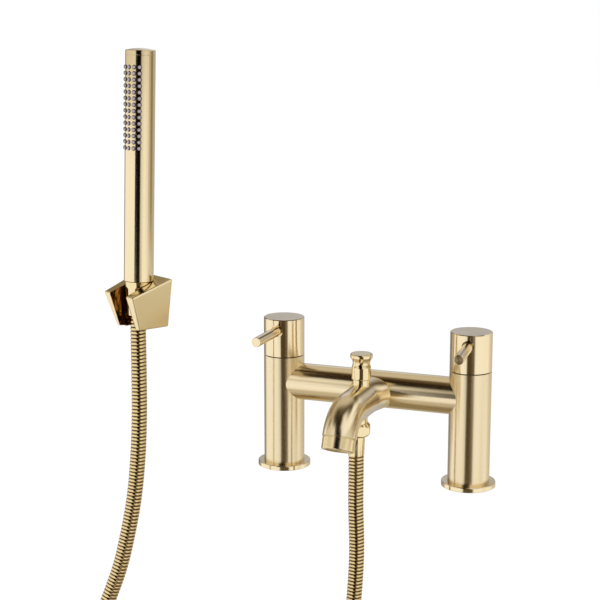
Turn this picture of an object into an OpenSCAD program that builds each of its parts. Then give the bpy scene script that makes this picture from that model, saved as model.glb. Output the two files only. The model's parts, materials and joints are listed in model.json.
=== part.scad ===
// Bath shower mixer for two deck inlets, with a pull-up diverter in its spout, a ribbed metal
// hose and a slim hand shower that stands in a wall bracket.
// Millimetres, +Z up, spout towards -Y. The origin is midway between the inlets, on the deck.

/* [Body] */
// Distance between the centres of the two inlets
inlet_spacing = 180; // [160:1:200]
// Diameter of the pillars, and of the handles on top of them
pillar_d = 38; // [36.5:0.1:40]
// Height of a pillar above the deck
pillar_h = 107; // [105:0.5:114]
// Wall of a pillar round its valve chamber
pillar_wall = 4; // [3:0.1:4.5]
// Diameter of an inlet socket, the minor diameter of a 3/4 inch pipe thread
inlet_d = 24.12; // [20:0.01:26]
// Depth of an inlet socket
inlet_depth = 18; // [12:0.5:24]
// Diameter of the waterway above an inlet socket
waterway_d = 18; // [14:0.5:20]
// Diameter of a flange on the deck
flange_d = 49.4; // [47:0.1:56]
// Thickness of a flange
flange_t = 4.6; // [4:0.1:8]
// Width of the seal under a flange
foot_seal_w = 3; // [2:0.1:3.5]
// Thickness of the seal under a flange
foot_seal_t = 1.6; // [1:0.1:2.5]
// Depth of the bridge's axis below the top of a pillar
bridge_drop = 24.7; // [24:0.1:28]
// Diameter of the bridge
bridge_d = 34.2; // [32.5:0.1:35]
// Wall of the bridge
bridge_wall = 3; // [2:0.1:4]

/* [Handles] */
// Height of a handle
handle_h = 35.1; // [33:0.1:38]
// Gap between a handle and its pillar
handle_gap = 1; // [0.4:0.1:1.2]
// Depth of the hollow under a handle
handle_hollow = 11.2; // [10:0.1:12]
// Wall round that hollow
handle_wall = 3.5; // [2.5:0.1:4]
// Rounding of a handle's upper edge
handle_round = 0.6; // [0.3:0.1:1.5]
// Diameter of a lever
lever_d = 9; // [7:0.1:10]
// Reach of a lever from its pillar's axis to its tip
lever_reach = 68; // [50:0.5:80]
// Depth of a lever's axis below the top of its handle
lever_drop = 10.4; // [9:0.1:11.5]
// Length of a lever inside its handle
lever_seat = 11; // [8:0.5:13]
// Depth of the recess round a lever's root
lever_recess = 2.4; // [0.8:0.1:3]
// Turn of the right lever from straight ahead, in degrees
right_lever_turn = 5.5; // [0:0.5:10]
// Diameter of a grub screw
grub_d = 5; // [3:0.1:5.4]
// Length of a grub screw
grub_len = 7; // [5:0.5:10]

/* [Valves] */
// Diameter of the thread that holds a cartridge in its pillar
cartridge_d = 22.4; // [21:0.1:25]
// Width across the flats of a cartridge's hexagon
cartridge_af = 24; // [22:0.1:25]
// Height of that hexagon
cartridge_hex_h = 5; // [4:0.1:6]
// Diameter of a ceramic disc
disc_d = 16; // [14:0.1:16.6]
// Thickness of a ceramic disc
disc_t = 3; // [2:0.1:4]
// Diameter of a spindle
spindle_d = 8; // [6:0.1:9]
// Thickness of a spindle's foot
spindle_foot_t = 2.5; // [2:0.1:3]
// Diameter of a cartridge's side windows
window_d = 8; // [6:0.1:9]
// Thickness of the washer under a cartridge
seat_washer_t = 2.5; // [2:0.1:3]
// Thickness of the ring seal round a spindle
ring_seal_t = 1.8; // [1.4:0.1:2]

/* [Spout] */
// Diameter of the spout
spout_d = 30.5; // [29:0.1:32]
// Wall of the spout
spout_wall = 3; // [2:0.1:3.4]
// Depth of the spout's axis below the bridge's axis
spout_drop = 1.75; // [0:0.05:1.8]
// Straight run of the spout, from the bridge's axis
spout_run = 69.5; // [68:0.1:80]
// Radius of the spout's bend
spout_bend = 31.3; // [26:0.1:36]
// Turn of the spout's bend, in degrees
spout_turn = 66; // [60:1:80]
// Diameter of the aerator
aerator_d = 29.3; // [28:0.1:29.8]
// Diameter of the aerator at its lip
aerator_lip_d = 28.8; // [27:0.1:29.2]
// Length of the aerator below the spout
aerator_len = 11.5; // [9:0.1:14]
// Wall of the aerator ring
aerator_wall = 3.4; // [2.8:0.1:4]
// Length of the aerator's thread inside the spout
aerator_thread = 6; // [4:0.1:7]

/* [Diverter] */
// Distance of the diverter's axis in front of the bridge's axis
diverter_reach = 40; // [38:0.5:42]
// Diameter of the neck under the knob
neck_d = 14.8; // [13:0.1:15]
// Height of the neck above the crown of the spout
neck_h = 4.7; // [3.5:0.1:6]
// Diameter of the neck's thread through the spout
neck_thread_d = 11; // [10:0.1:12]
// Height of the knob
knob_h = 23.4; // [22:0.1:28]
// Diameter of the knob's lower barrel
knob_barrel_d = 17.4; // [15.5:0.1:18]
// Diameter of the knob's waist
knob_waist_d = 15.8; // [14:0.1:17]
// Diameter of the knob's head
knob_head_d = 20.2; // [18:0.1:22]
// Height of the knob's barrel
knob_barrel_h = 11; // [9:0.1:12]
// Thickness of the rim of the knob's head
knob_rim_h = 4.4; // [3:0.1:5]
// Rounding of the knob's upper edge
knob_top_round = 1.3; // [0.5:0.1:2]
// Diameter of the stem
stem_d = 4; // [3:0.1:4.4]
// Travel of the knob when it is pulled up
diverter_lift = 8; // [6:0.5:9]
// Diameter of the plunger
plunger_d = 16; // [14:0.1:17]
// Thickness of the plunger
plunger_t = 4.5; // [3:0.1:5]
// Thickness of the seal under the plunger
plunger_seal_t = 1.8; // [1.2:0.1:2.2]
// Diameter of the spring's wire
spring_wire = 0.8; // [0.6:0.1:0.9]
// Diameter of the spring at the middle of its wire
spring_d = 6.6; // [6.2:0.1:7]
// Turns of the spring
spring_turns = 6; // [4:1:7]

/* [Shower outlet] */
// Distance of the shower outlet in front of the bridge's axis
outlet_reach = 52.5; // [51:0.5:55]
// Diameter of the spigot, a plain stand-in for its 1/2 inch pipe thread
spigot_d = 19.8; // [19:0.1:20.6]
// Width across the flats of the hose nut
nut_af = 24; // [23:0.1:26]
// Height of the hose nut
nut_h = 11.6; // [11:0.1:15]
// Height of the chamfer on the hose nut's corners
nut_chamfer = 3.6; // [2:0.1:4]
// Height of the bare spigot above the hose nut
spigot_bare = 1.7; // [1:0.1:4]
// Turn of the hose nut's corners, in degrees
nut_turn = -15; // [-30:1:30]
// Length of the ferrule below the hose nut
ferrule_len = 18.1; // [14:0.1:22]
// Diameter of a ferrule at the hose
ferrule_d = 14.4; // [14.1:0.1:15]
// Diameter of the check valve in the spigot
check_valve_d = 12.6; // [11:0.1:13]
// Thickness of a hose washer
hose_washer_t = 2; // [1.5:0.1:2.5]
// Thickness of the collar on a hose tail
collar_t = 2.1; // [1.6:0.1:2.6]

/* [Hose] */
// Diameter over the ribs of the hose
hose_d = 14; // [13:0.1:14]
// Diameter of the hose's bore
hose_bore = 8.6; // [7:0.1:9.5]
// Depth of the grooves between the ribs
hose_groove = 0.9; // [0.5:0.1:1.2]
// Number of ribs along the hose
hose_ribs = 190; // [60:1:200]

/* [Hand shower] */
// Diameter of the hand shower
handset_d = 26; // [25:0.1:27]
// Length of the hand shower, cap and all
handset_len = 200.9; // [190:0.1:220]
// Wall of the hand shower's tube
handset_wall = 1.5; // [1:0.1:2]
// Thickness of the end cap that shows
cap_t = 5.8; // [4:0.1:7]
// Height of the crown of the end cap
cap_crown = 1.6; // [0.5:0.1:2.5]
// Rows of nozzles along the hand shower
nozzle_rows = 14; // [8:1:14]
// Distance between the rows of nozzles
nozzle_pitch = 5.3; // [5:0.1:5.6]
// Distance of the first row from the top
nozzle_top = 16; // [15:0.1:18]
// Angle between the columns of nozzles, in degrees
nozzle_step = 22; // [21:1:24]
// Turn of the hand shower in its socket, in degrees
handset_turn = 9; // [-30:1:30]
// Diameter of the holes for the nozzles
nozzle_hole_d = 4; // [3.7:0.1:4]
// Diameter of a nozzle at its root
nozzle_d = 3.4; // [3:0.1:3.6]
// Height of a nozzle above the tube
nozzle_proud = 1.4; // [0.6:0.1:2]
// Diameter of the inner waterway
core_d = 12; // [10:0.1:14]
// Diameter of the large end of the conical nut
cone_top_d = 24; // [23.6:0.1:25]
// Diameter of the small end of the conical nut
cone_foot_d = 18.8; // [18:0.1:20]
// Length of the conical nut
cone_len = 30; // [26:0.5:32]
// Gap between the conical nut and the hand shower
cone_gap = 0.8; // [0.4:0.1:1.2]

/* [Wall bracket] */
// Place of the socket along X
socket_x = -180.5; // [-190:0.5:-170]
// Place of the socket along Y
socket_y = -118; // [-130:0.5:-100]
// Height of the foot of the hand shower above the deck
socket_z = 192.3; // [180:0.1:200]
// Turn of the wall behind the bracket about the vertical, in degrees
bracket_turn = -28.6; // [-60:0.1:60]
// Lean of the socket towards the wall, in degrees
socket_lean = 2; // [0:0.5:3]
// Distance of the socket's axis from the wall
wall_gap = 18; // [17.5:0.1:22]
// Depth of the bracket at its top
bracket_depth = 39.9; // [38:0.1:46]
// Depth of the bracket at its foot
bracket_foot_depth = 30.8; // [29:0.1:36]
// Width of the bracket at the top of its back
bracket_back_w = 51.5; // [48:0.1:60]
// Width of the bracket at the top of its front
bracket_front_w = 44.1; // [40:0.1:48]
// Width of the bracket at the foot of its back
bracket_foot_w = 37.8; // [35:0.1:42]
// Height of the bracket's back
bracket_h = 43.7; // [42:0.1:48]
// Height of the bracket's back above the foot of the hand shower
bracket_rise = 2.4; // [1.5:0.1:4]
// Fall of the bracket's top from its back to its front
bracket_fall = 12.3; // [10:0.1:15]
// Width of the slot between the bracket's arms
slot_w = 24.4; // [20:0.1:26]
// Distance from the socket's axis to the step where that slot ends
slot_reach = 9; // [7:0.1:11]
// Rounding of the bracket's edges
bracket_round = 1.5; // [0.5:0.1:2]
// Diameter of the bracket's two screw holes
screw_d = 4.4; // [3.4:0.1:5]
// Length of the plain part of a screw hole
screw_land = 3; // [2:0.1:3.4]
// Height of the lower screw hole above the bracket's foot
screw_rise = 10; // [9:0.5:12]
// Distance between the two screw holes
screw_pitch = 18; // [16:0.5:20]

/* [Hidden] */
$fn = 64;

// Colours of the finishes
brushed_brass = [0.79, 0.68, 0.47];
polished_brass = [0.89, 0.76, 0.46];
raw_brass = [0.72, 0.58, 0.33];
black_rubber = [0.10, 0.10, 0.10];
white_ceramic = [0.92, 0.92, 0.90];
spring_steel = [0.70, 0.71, 0.72];
white_plastic = [0.88, 0.88, 0.86];
grey_silicone = [0.62, 0.60, 0.60];

// Clearances
seat_fit = 0.05;     // between parts that are screwed, soldered or pressed together
run_fit = 0.05;      // between a shaft and its bore
clear = 0.3;         // between parts that move past each other
face_gap = 0.05;     // between flat faces that slide or turn on each other
over = 1;            // by which a cut runs past a face

// Pillars and valves
pillar_x = inlet_spacing / 2;
pillar_r = pillar_d / 2;
bridge_r = bridge_d / 2;
bridge_bore = bridge_r - bridge_wall;
bridge_z = pillar_h - bridge_drop;
chamber_r = pillar_r - pillar_wall;
chamber_spare = 1;
seat_z = bridge_z - bridge_bore - chamber_spare;
seat_wall = 3;
chamber_top = bridge_z + bridge_bore + chamber_spare;
seat_hole_d = disc_d - 4;
disc_z = seat_z + seat_washer_t;
moving_z = disc_z + disc_t + face_gap;
foot_z = moving_z + disc_t;
cavity_r = disc_d / 2 + clear;
cavity_wall = 1.8;
window_z = foot_z + spindle_foot_t + window_d / 2 + 1;
cavity_top = window_z + window_d / 2 + 1;
seal_z = pillar_h - ring_seal_t - 1;
spindle_r = spindle_d / 2;
seal_bore = spindle_r + run_fit;

// Handles
handle_z = pillar_h + handle_gap;
handle_top = handle_z + handle_h;
hollow_top = handle_z + handle_hollow;
lever_z = handle_top - lever_drop;
lever_r = lever_d / 2;
spindle_roof = 2.2;
spindle_top = lever_z - lever_r - spindle_roof;
grub_z = (hollow_top + spindle_top) / 2;
guide_wall = 3;
guide_top = hollow_top - 1.5;

// Spout and diverter
spout_r = spout_d / 2;
spout_bore = spout_r - spout_wall;
// Straight bore for the aerator's thread, which clears the bend of the spout's own bore
aerator_bore = spout_bore + aerator_thread * aerator_thread / 2 / spout_bend + 0.1;
spout_z = bridge_z - spout_drop;
spout_end_y = -spout_run - spout_bend * sin(spout_turn);
spout_end_z = spout_z - spout_bend * (1 - cos(spout_turn));
crown_z = spout_z + spout_r;
neck_top = crown_z + neck_h;
neck_roof = 2;
knob_gap = 0.4;
knob_z = neck_top + knob_gap;
chamber_floor = spout_z - plunger_d / 2 + 1;
valve_seal_z = chamber_floor + clear;
plunger_z = valve_seal_z + plunger_seal_t;
plunger_top = plunger_z + plunger_t;
neck_foot = plunger_top + diverter_lift + 2;
spring_hollow_r = spring_d / 2 + spring_wire / 2 + clear;
stem_top = knob_z + knob_barrel_h;

// Shower outlet
nut_top = spout_z - spout_r - spigot_bare;
nut_foot = nut_top - nut_h;
nut_lip = 1.2;
collar_z = nut_foot + nut_lip + clear;
collar_r = spigot_d / 2 - 0.5;
outlet_washer_z = collar_z + collar_t;
spigot_foot = outlet_washer_z + hose_washer_t;
spigot_shank_r = check_valve_d / 2 + 1;
ferrule_top_r = ferrule_d / 2 + 0.8;
ferrule_foot = nut_foot - ferrule_len;

// Hand shower, measured along the socket's axis from the foot of the hand shower
handset_r = handset_d / 2;
tube_bore = handset_r - handset_wall;
tube_len = handset_len - cap_t;
inlet_plug = 8;
inlet_r = spigot_d / 2 - 0.4;
inlet_len = 10;
cone_top = -cone_gap;
cone_foot = cone_top - cone_len;
cone_slope = (cone_top_d - cone_foot_d) / 2 / cone_len;
tail_collar_top = -inlet_len - hose_washer_t - face_gap;
tail_collar_foot = tail_collar_top - collar_t;
hose_end = cone_foot - 0.2;
cap_plug = 5;
spray_top = tube_len - cap_plug - 1;
spray_foot = handset_len - nozzle_top - (nozzle_rows - 1) * nozzle_pitch - 4;
sleeve_t = 1.2;

// Wall bracket
bracket_top = socket_z + bracket_rise;
bracket_foot = bracket_top - bracket_h;
slot_step = 0.6;
screw_head_d = 2 * screw_d;
screw_low = bracket_foot + screw_rise;
screw_high = screw_low + screw_pitch;

// Route of the hose, from the mixer down, round its hanging loop and up to the hand shower.
// Its two ends run straight out of the fittings.
hose_lead = hose_d + 2;
function socket_point(t) =
    [socket_x, socket_y, socket_z] + t * [
        -sin(bracket_turn) * sin(socket_lean),
        cos(bracket_turn) * sin(socket_lean),
        cos(socket_lean)];
hose_hang = [
    [0, -52.5, -15], [1, -52, -55], [0, -53, -90], [-3, -54, -130], [-7, -55, -178], [-11, -57, -228],
    [-16, -59, -278], [-24, -62, -326], [-38, -67, -371], [-60, -75, -411], [-89, -85, -441],
    [-123, -98, -455], [-158, -110, -450], [-190, -121, -428], [-215, -130, -391], [-232, -136, -346],
    [-241, -140, -298], [-243, -140.5, -249], [-239, -139, -200], [-228, -135, -153], [-214, -131, -111],
    [-202, -127, -76], [-194, -124, -42], [-188, -121, -6], [-184, -120, 32], [-182, -119.5, 70],
    [-181.5, -119.3, 106]
];
hose_route = concat(
    [[0, -outlet_reach, ferrule_foot], [0, -outlet_reach, ferrule_foot - hose_lead]],
    hose_hang,
    [socket_point(hose_end - clear - hose_lead), socket_point(hose_end - clear)]);

// Smooth curve through the points of a route, and the distance along it
route_steps = 10;
function blend_point(a, b, c, d, u) =
    0.5 * (2 * b + (c - a) * u + (2 * a - 5 * b + 4 * c - d) * u * u + (3 * b - a - 3 * c + d) * u * u * u);
function curve_points(p) =
    let (last = len(p) - 1)
    concat(
        [for (i = [0:last - 1], k = [0:route_steps - 1])
            blend_point(p[max(i - 1, 0)], p[i], p[i + 1], p[min(i + 2, last)], k / route_steps)],
        [p[last]]);
function distances(p) = [
    for (i = 0, s = 0; i < len(p); s = s + (i + 1 < len(p) ? norm(p[i + 1] - p[i]) : 0), i = i + 1) s];
function columns(s, p, axis) = [for (i = [0:len(p) - 1]) [s[i], p[i][axis]]];
function unit(v) = v / norm(v);

hose_curve = curve_points(hose_route);
hose_at = distances(hose_curve);
hose_len = hose_at[len(hose_at) - 1];
hose_x = columns(hose_at, hose_curve, 0);
hose_y = columns(hose_at, hose_curve, 1);
hose_zs = columns(hose_at, hose_curve, 2);
function hose_point(s) = [lookup(s, hose_x), lookup(s, hose_y), lookup(s, hose_zs)];
hose_side = unit([-socket_y - outlet_reach, socket_x, 0]);
tangent_step = 2;
function hose_tangent(s) =
    unit(hose_point(min(s + tangent_step, hose_len)) - hose_point(max(s - tangent_step, 0)));

// Ring of points round a place on a path, square to the path
function ring(c, tangent, side, r, sides) =
    let (b = unit(cross(tangent, side)), a = cross(b, tangent))
    [for (k = [0:sides - 1]) c + r * (cos(360 * k / sides) * a + sin(360 * k / sides) * b)];
function skin(rings, sides, first, flip) = [
    for (i = [0:rings - 2], k = [0:sides - 1])
        let (start = first + i * sides, a = start + k, b = start + (k + 1) % sides)
        let (c = b + sides, d = a + sides)
        for (f = flip ? [[a, c, b], [a, d, c]] : [[a, b, c], [a, c, d]]) f];

// Least distance between two stretches of the hose that are not next to each other
loop_apart = 150;
hose_samples = [for (s = [0:8:hose_len]) [s, hose_point(s)]];
hose_self_gap = min([
    for (a = hose_samples, b = hose_samples)
        if (b[0] - a[0] > loop_apart) norm(b[1] - a[1])]) - hose_d;
echo(hose_length = hose_len, hose_self_gap = hose_self_gap);

// Places
module left_side() translate([-pillar_x, 0, 0]) children();
module right_side() translate([pillar_x, 0, 0]) children();
module right_turned() right_side() rotate([0, 0, right_lever_turn]) children();
module at_diverter() translate([0, -diverter_reach, 0]) children();
module at_outlet() translate([0, -outlet_reach, 0]) children();
module at_spout_end() translate([0, spout_end_y, spout_end_z]) rotate([90 + spout_turn, 0, 0]) children();
module at_bracket() translate([socket_x, socket_y, 0]) rotate([0, 0, bracket_turn]) children();
module at_socket()
    translate([socket_x, socket_y, socket_z]) rotate([0, 0, bracket_turn]) rotate([-socket_lean, 0, 0])
        children();
module column(z0, z1, r) translate([0, 0, z0]) cylinder(h = z1 - z0, r = r);
module tube(z0, z1, r, bore) difference() {
    column(z0, z1, r);
    column(z0 - over, z1 + over, bore);
}
module hexagon(z0, z1, af) translate([0, 0, z0]) cylinder(h = z1 - z0, d = af / cos(30), $fn = 6);

// Body
module pillar() color(brushed_brass) difference() {
    column(0, pillar_h, pillar_r);
    column(-over, inlet_depth, inlet_d / 2);
    column(inlet_depth - over, seat_z - seat_wall, waterway_d / 2);
    column(inlet_depth, seat_z + over, seat_hole_d / 2);
    column(seat_z, chamber_top, chamber_r);
    column(chamber_top - over, pillar_h + over, cartridge_d / 2 + seat_fit);
    translate([0, 0, bridge_z]) rotate([0, 90, 0]) column(0, pillar_d, bridge_bore);
}
module left_pillar() left_side() pillar();
module right_pillar() right_side() rotate([0, 0, 180]) pillar();

module bridge() color(brushed_brass) difference() {
    translate([0, 0, bridge_z]) rotate([0, 90, 0]) column(-pillar_x, pillar_x, bridge_r);
    translate([0, 0, bridge_z]) rotate([0, 90, 0]) column(-pillar_x - over, pillar_x + over, bridge_bore);
    for (x = [-pillar_x, pillar_x]) translate([x, 0, 0]) column(0, pillar_h, pillar_r + seat_fit);
    translate([0, 0, spout_z]) rotate([90, 0, 0]) column(0, bridge_d, spout_bore);
}

module spout_form(r) {
    translate([0, 0, spout_z]) rotate([90, 0, 0]) column(0, spout_run, r);
    translate([0, -spout_run, spout_z - spout_bend]) rotate([0, 0, 180]) rotate([0, -90, 0])
        rotate_extrude(angle = spout_turn) translate([spout_bend, 0]) circle(r);
}
module spout() color(brushed_brass) difference() {
    spout_form(spout_r);
    spout_form(spout_bore);
    at_spout_end() column(-aerator_thread, over, aerator_bore);
    translate([0, 0, bridge_z]) rotate([0, 90, 0]) column(-spout_d, spout_d, bridge_r + seat_fit);
    at_diverter() column(spout_z, crown_z + over, neck_thread_d / 2 + seat_fit);
    at_outlet() column(spout_z - spout_d, spout_z, spigot_shank_r + seat_fit);
}

// Flanges
flange_round = 0.5;
module flange() color(brushed_brass) difference() {
    rotate_extrude() polygon([
        [pillar_r + seat_fit, 0], [flange_d / 2, 0], [flange_d / 2, flange_t - flange_round],
        [flange_d / 2 - flange_round, flange_t], [pillar_r + seat_fit, flange_t]]);
    foot_ring(over, 0);
}
module foot_ring(below, gap) {
    inner = (pillar_r + flange_d / 2 - foot_seal_w) / 2;
    translate([0, 0, -below]) difference() {
        cylinder(h = foot_seal_t + below, r = inner + foot_seal_w - gap);
        translate([0, 0, -over]) cylinder(h = foot_seal_t + below + 2 * over, r = inner + gap);
    }
}
module left_flange() left_side() flange();
module right_flange() right_side() flange();
module foot_seal() color(black_rubber) foot_ring(0, seat_fit);
module left_foot_seal() left_side() foot_seal();
module right_foot_seal() right_side() foot_seal();

// Valves
module cartridge() color(raw_brass) difference() {
    union() {
        column(disc_z, chamber_top + over, cavity_r + cavity_wall);
        column(chamber_top, pillar_h, cartridge_d / 2);
        hexagon(pillar_h, pillar_h + cartridge_hex_h, cartridge_af);
        column(pillar_h, guide_top, spindle_r + guide_wall);
    }
    column(disc_z - over, cavity_top, cavity_r);
    column(disc_z, guide_top + over, spindle_r + run_fit);
    column(seal_z - seat_fit, seal_z + ring_seal_t + seat_fit, seal_bore + ring_seal_t + seat_fit);
    translate([0, 0, window_z]) rotate([0, 90, 0]) column(-pillar_d, pillar_d, window_d / 2);
}
module left_cartridge() left_side() cartridge();
module right_cartridge() right_side() cartridge();

module seat_washer() color(black_rubber) tube(seat_z, disc_z, cavity_r + cavity_wall, seat_hole_d / 2);
module left_seat_washer() left_side() seat_washer();
module right_seat_washer() right_side() seat_washer();

// A ceramic disc has one half-moon port, and the spindle turns the upper one over the lower
module ceramic_disc(z, r, turn) color(white_ceramic) difference() {
    column(z, z + disc_t, r);
    rotate([0, 0, turn]) translate([0, 0, z - over]) intersection() {
        cylinder(h = disc_t + 2 * over, r = r - 2);
        translate([-disc_d, 1.5, 0]) cube([2 * disc_d, disc_d, disc_t + 2 * over]);
    }
}
module left_fixed_disc() left_side() ceramic_disc(disc_z, disc_d / 2, 0);
module right_fixed_disc() right_side() ceramic_disc(disc_z, disc_d / 2, 0);
module left_moving_disc() left_side() ceramic_disc(moving_z, disc_d / 2 - face_gap, 180);
module right_moving_disc() right_side() ceramic_disc(moving_z, disc_d / 2 - face_gap, 180);

module spindle() color(raw_brass) {
    column(foot_z, foot_z + spindle_foot_t, disc_d / 2 - face_gap);
    column(foot_z, spindle_top, spindle_r);
}
module left_spindle() left_side() spindle();
module right_spindle() right_side() spindle();

module spindle_seal() color(black_rubber) rotate_extrude()
    translate([seal_bore + ring_seal_t / 2, seal_z + ring_seal_t / 2]) circle(d = ring_seal_t, $fn = 32);
module left_spindle_seal() left_side() spindle_seal();
module right_spindle_seal() right_side() spindle_seal();

// Handles
module handle() color(brushed_brass) difference() {
    rotate_extrude() polygon([
        [0, handle_z], [pillar_r, handle_z], [pillar_r, handle_top - handle_round],
        [pillar_r - handle_round, handle_top], [0, handle_top]]);
    column(handle_z - over, hollow_top, pillar_r - handle_wall);
    column(handle_z, spindle_top + seat_fit, spindle_r + seat_fit);
    translate([0, 0, lever_z]) rotate([90, 0, 0]) {
        column(pillar_r - lever_seat, pillar_d, lever_r + seat_fit);
        column(pillar_r - lever_recess, pillar_d, lever_r + lever_recess / 2);
    }
    translate([0, 0, grub_z]) rotate([-90, 0, 0]) column(0, pillar_d, grub_d / 2 + seat_fit);
}
module left_handle() left_side() handle();
module right_handle() right_turned() handle();

lever_round = 0.5;
module lever() color(brushed_brass) translate([0, 0, lever_z]) rotate([90, 0, 0]) rotate_extrude() polygon([
    [0, pillar_r - lever_seat], [lever_r, pillar_r - lever_seat], [lever_r, lever_reach - lever_round],
    [lever_r - lever_round, lever_reach], [0, lever_reach]]);
module left_lever() left_side() lever();
module right_lever() right_turned() lever();

module grub_screw() color(spring_steel) translate([0, 0, grub_z]) rotate([-90, 0, 0]) difference() {
    column(spindle_r + seat_fit, spindle_r + seat_fit + grub_len, grub_d / 2);
    hexagon(spindle_r + grub_len / 2, pillar_d, grub_d / 2);
}
module left_grub_screw() left_side() grub_screw();
module right_grub_screw() right_turned() grub_screw();

// Aerator
aerator_r = aerator_d / 2;
insert_r = aerator_r - aerator_wall;
insert_lip = 1;
insert_recess = 2;
jet_rings = [[0, 1], [3.4, 6], [6.8, 12]];
jet_d = 2;
module aerator_ring() color(polished_brass) at_spout_end() difference() {
    union() {
        translate([0, 0, seat_fit])
            cylinder(h = aerator_len - seat_fit, r1 = aerator_r, r2 = aerator_lip_d / 2);
        column(seat_fit - aerator_thread, seat_fit + over, aerator_bore - seat_fit);
    }
    column(-aerator_thread, aerator_len - insert_recess, insert_r);
    column(0, aerator_len + over, insert_r - insert_lip);
}
module aerator_insert() color(white_plastic) at_spout_end() difference() {
    column(0, aerator_len - insert_recess - seat_fit, insert_r - seat_fit);
    for (jets = jet_rings, k = [0:jets[1] - 1]) rotate([0, 0, 360 * k / jets[1]]) translate([jets[0], 0, 0])
        column(-over, aerator_len, jet_d / 2);
}
aerator_seal_t = 2;
module aerator_seal() color(black_rubber) at_spout_end()
    tube(-aerator_seal_t, 0, insert_r - seat_fit, insert_r - 3);

// Diverter
module diverter_neck() color(polished_brass) difference() {
    union() {
        difference() {
            at_diverter() column(spout_z, neck_top, neck_d / 2);
            translate([0, 0, spout_z]) rotate([90, 0, 0]) column(0, spout_run, spout_r + seat_fit);
        }
        at_diverter() column(neck_foot, crown_z + over, neck_thread_d / 2);
    }
    at_diverter() column(neck_foot - over, neck_top - neck_roof, spring_hollow_r);
    at_diverter() column(neck_foot, neck_top + over, stem_d / 2 + run_fit);
}

// Sleeve in the spout that carries the valve chamber, with ports to the spout and to the shower
seat_back = 12;
seat_front = 6;
port_d = 9;
duct_w = 7;
duct_h = 3;
module diverter_seat() color(white_plastic) difference() {
    translate([0, 0, spout_z]) rotate([90, 0, 0])
        column(diverter_reach - seat_back, outlet_reach + seat_front, spout_bore - seat_fit);
    at_diverter() column(chamber_floor, crown_z, plunger_d / 2 + clear);
    translate([0, 0, chamber_floor + diverter_lift]) rotate([90, 0, 0]) column(0, spout_run, port_d / 2);
    at_diverter() column(spout_z - spout_r, crown_z, duct_w / 2);
    translate([-duct_w / 2, -outlet_reach, spout_z - spout_r])
        cube([duct_w, outlet_reach - diverter_reach, spout_wall + duct_h]);
}

knob_round = 0.5;
edge_steps = 6;
knob_flare = knob_h - knob_barrel_h - knob_rim_h;
flare_steps = 8;
knob_curve = [for (k = [0:flare_steps])
    let (u = k / flare_steps)
    [(knob_barrel_d + (knob_head_d - knob_barrel_d) * u) / 2
        - ((knob_barrel_d + knob_head_d) / 2 - knob_waist_d) / 2 * sin(180 * u),
     knob_z + knob_barrel_h + knob_flare * u]];
module diverter_knob() color(polished_brass) at_diverter() difference() {
    rotate_extrude() polygon(concat(
        [[0, knob_z], [knob_barrel_d / 2 - knob_round, knob_z], [knob_barrel_d / 2, knob_z + knob_round]],
        knob_curve,
        [for (k = [0:edge_steps])
            [knob_head_d / 2, knob_z + knob_h] - knob_top_round * [1, 1]
                + knob_top_round * [cos(90 * k / edge_steps), sin(90 * k / edge_steps)]],
        [[0, knob_z + knob_h]]));
    column(knob_z - over, stem_top + seat_fit, stem_d / 2 + seat_fit);
}
module diverter_stem() color(raw_brass) at_diverter() column(plunger_z, stem_top, stem_d / 2);
module diverter_plunger() color(raw_brass) at_diverter()
    tube(plunger_z, plunger_top, plunger_d / 2 - seat_fit, stem_d / 2 + seat_fit);
module diverter_seal() color(black_rubber) at_diverter() column(valve_seal_z, plunger_z, plunger_d / 2 - 1);

// Return spring, one wire along a helix, from the plunger to the roof of the neck
curl_rings = 8;
wire_sides = 6;
spring_foot = plunger_top + spring_wire / 2 + face_gap;
spring_head = neck_top - neck_roof - spring_wire / 2 - face_gap;
spring_pitch = (spring_head - spring_foot) / spring_turns;
spring_gap = spring_pitch - spring_wire;
spring_count = spring_turns * curl_rings + 1;
function helix_point(k) =
    [cos(360 * k / curl_rings), sin(360 * k / curl_rings), 0] * spring_d / 2
    + [0, 0, spring_foot + spring_pitch * k / curl_rings];
function helix_tangent(k) =
    unit([-sin(360 * k / curl_rings), cos(360 * k / curl_rings), spring_pitch / (PI * spring_d)]);
module diverter_spring() color(spring_steel) at_diverter() {
    last = (spring_count - 1) * wire_sides;
    polyhedron(
        points = [for (k = [0:spring_count - 1])
            each ring(helix_point(k), helix_tangent(k), [0, 0, 1], spring_wire / 2, wire_sides)],
        faces = concat(
            skin(spring_count, wire_sides, 0, true),
            [for (k = [1:wire_sides - 2]) [0, k, k + 1]],
            [for (k = [1:wire_sides - 2]) [last, last + k + 1, last + k]]));
}
echo(spring_gap = spring_gap);

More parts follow.
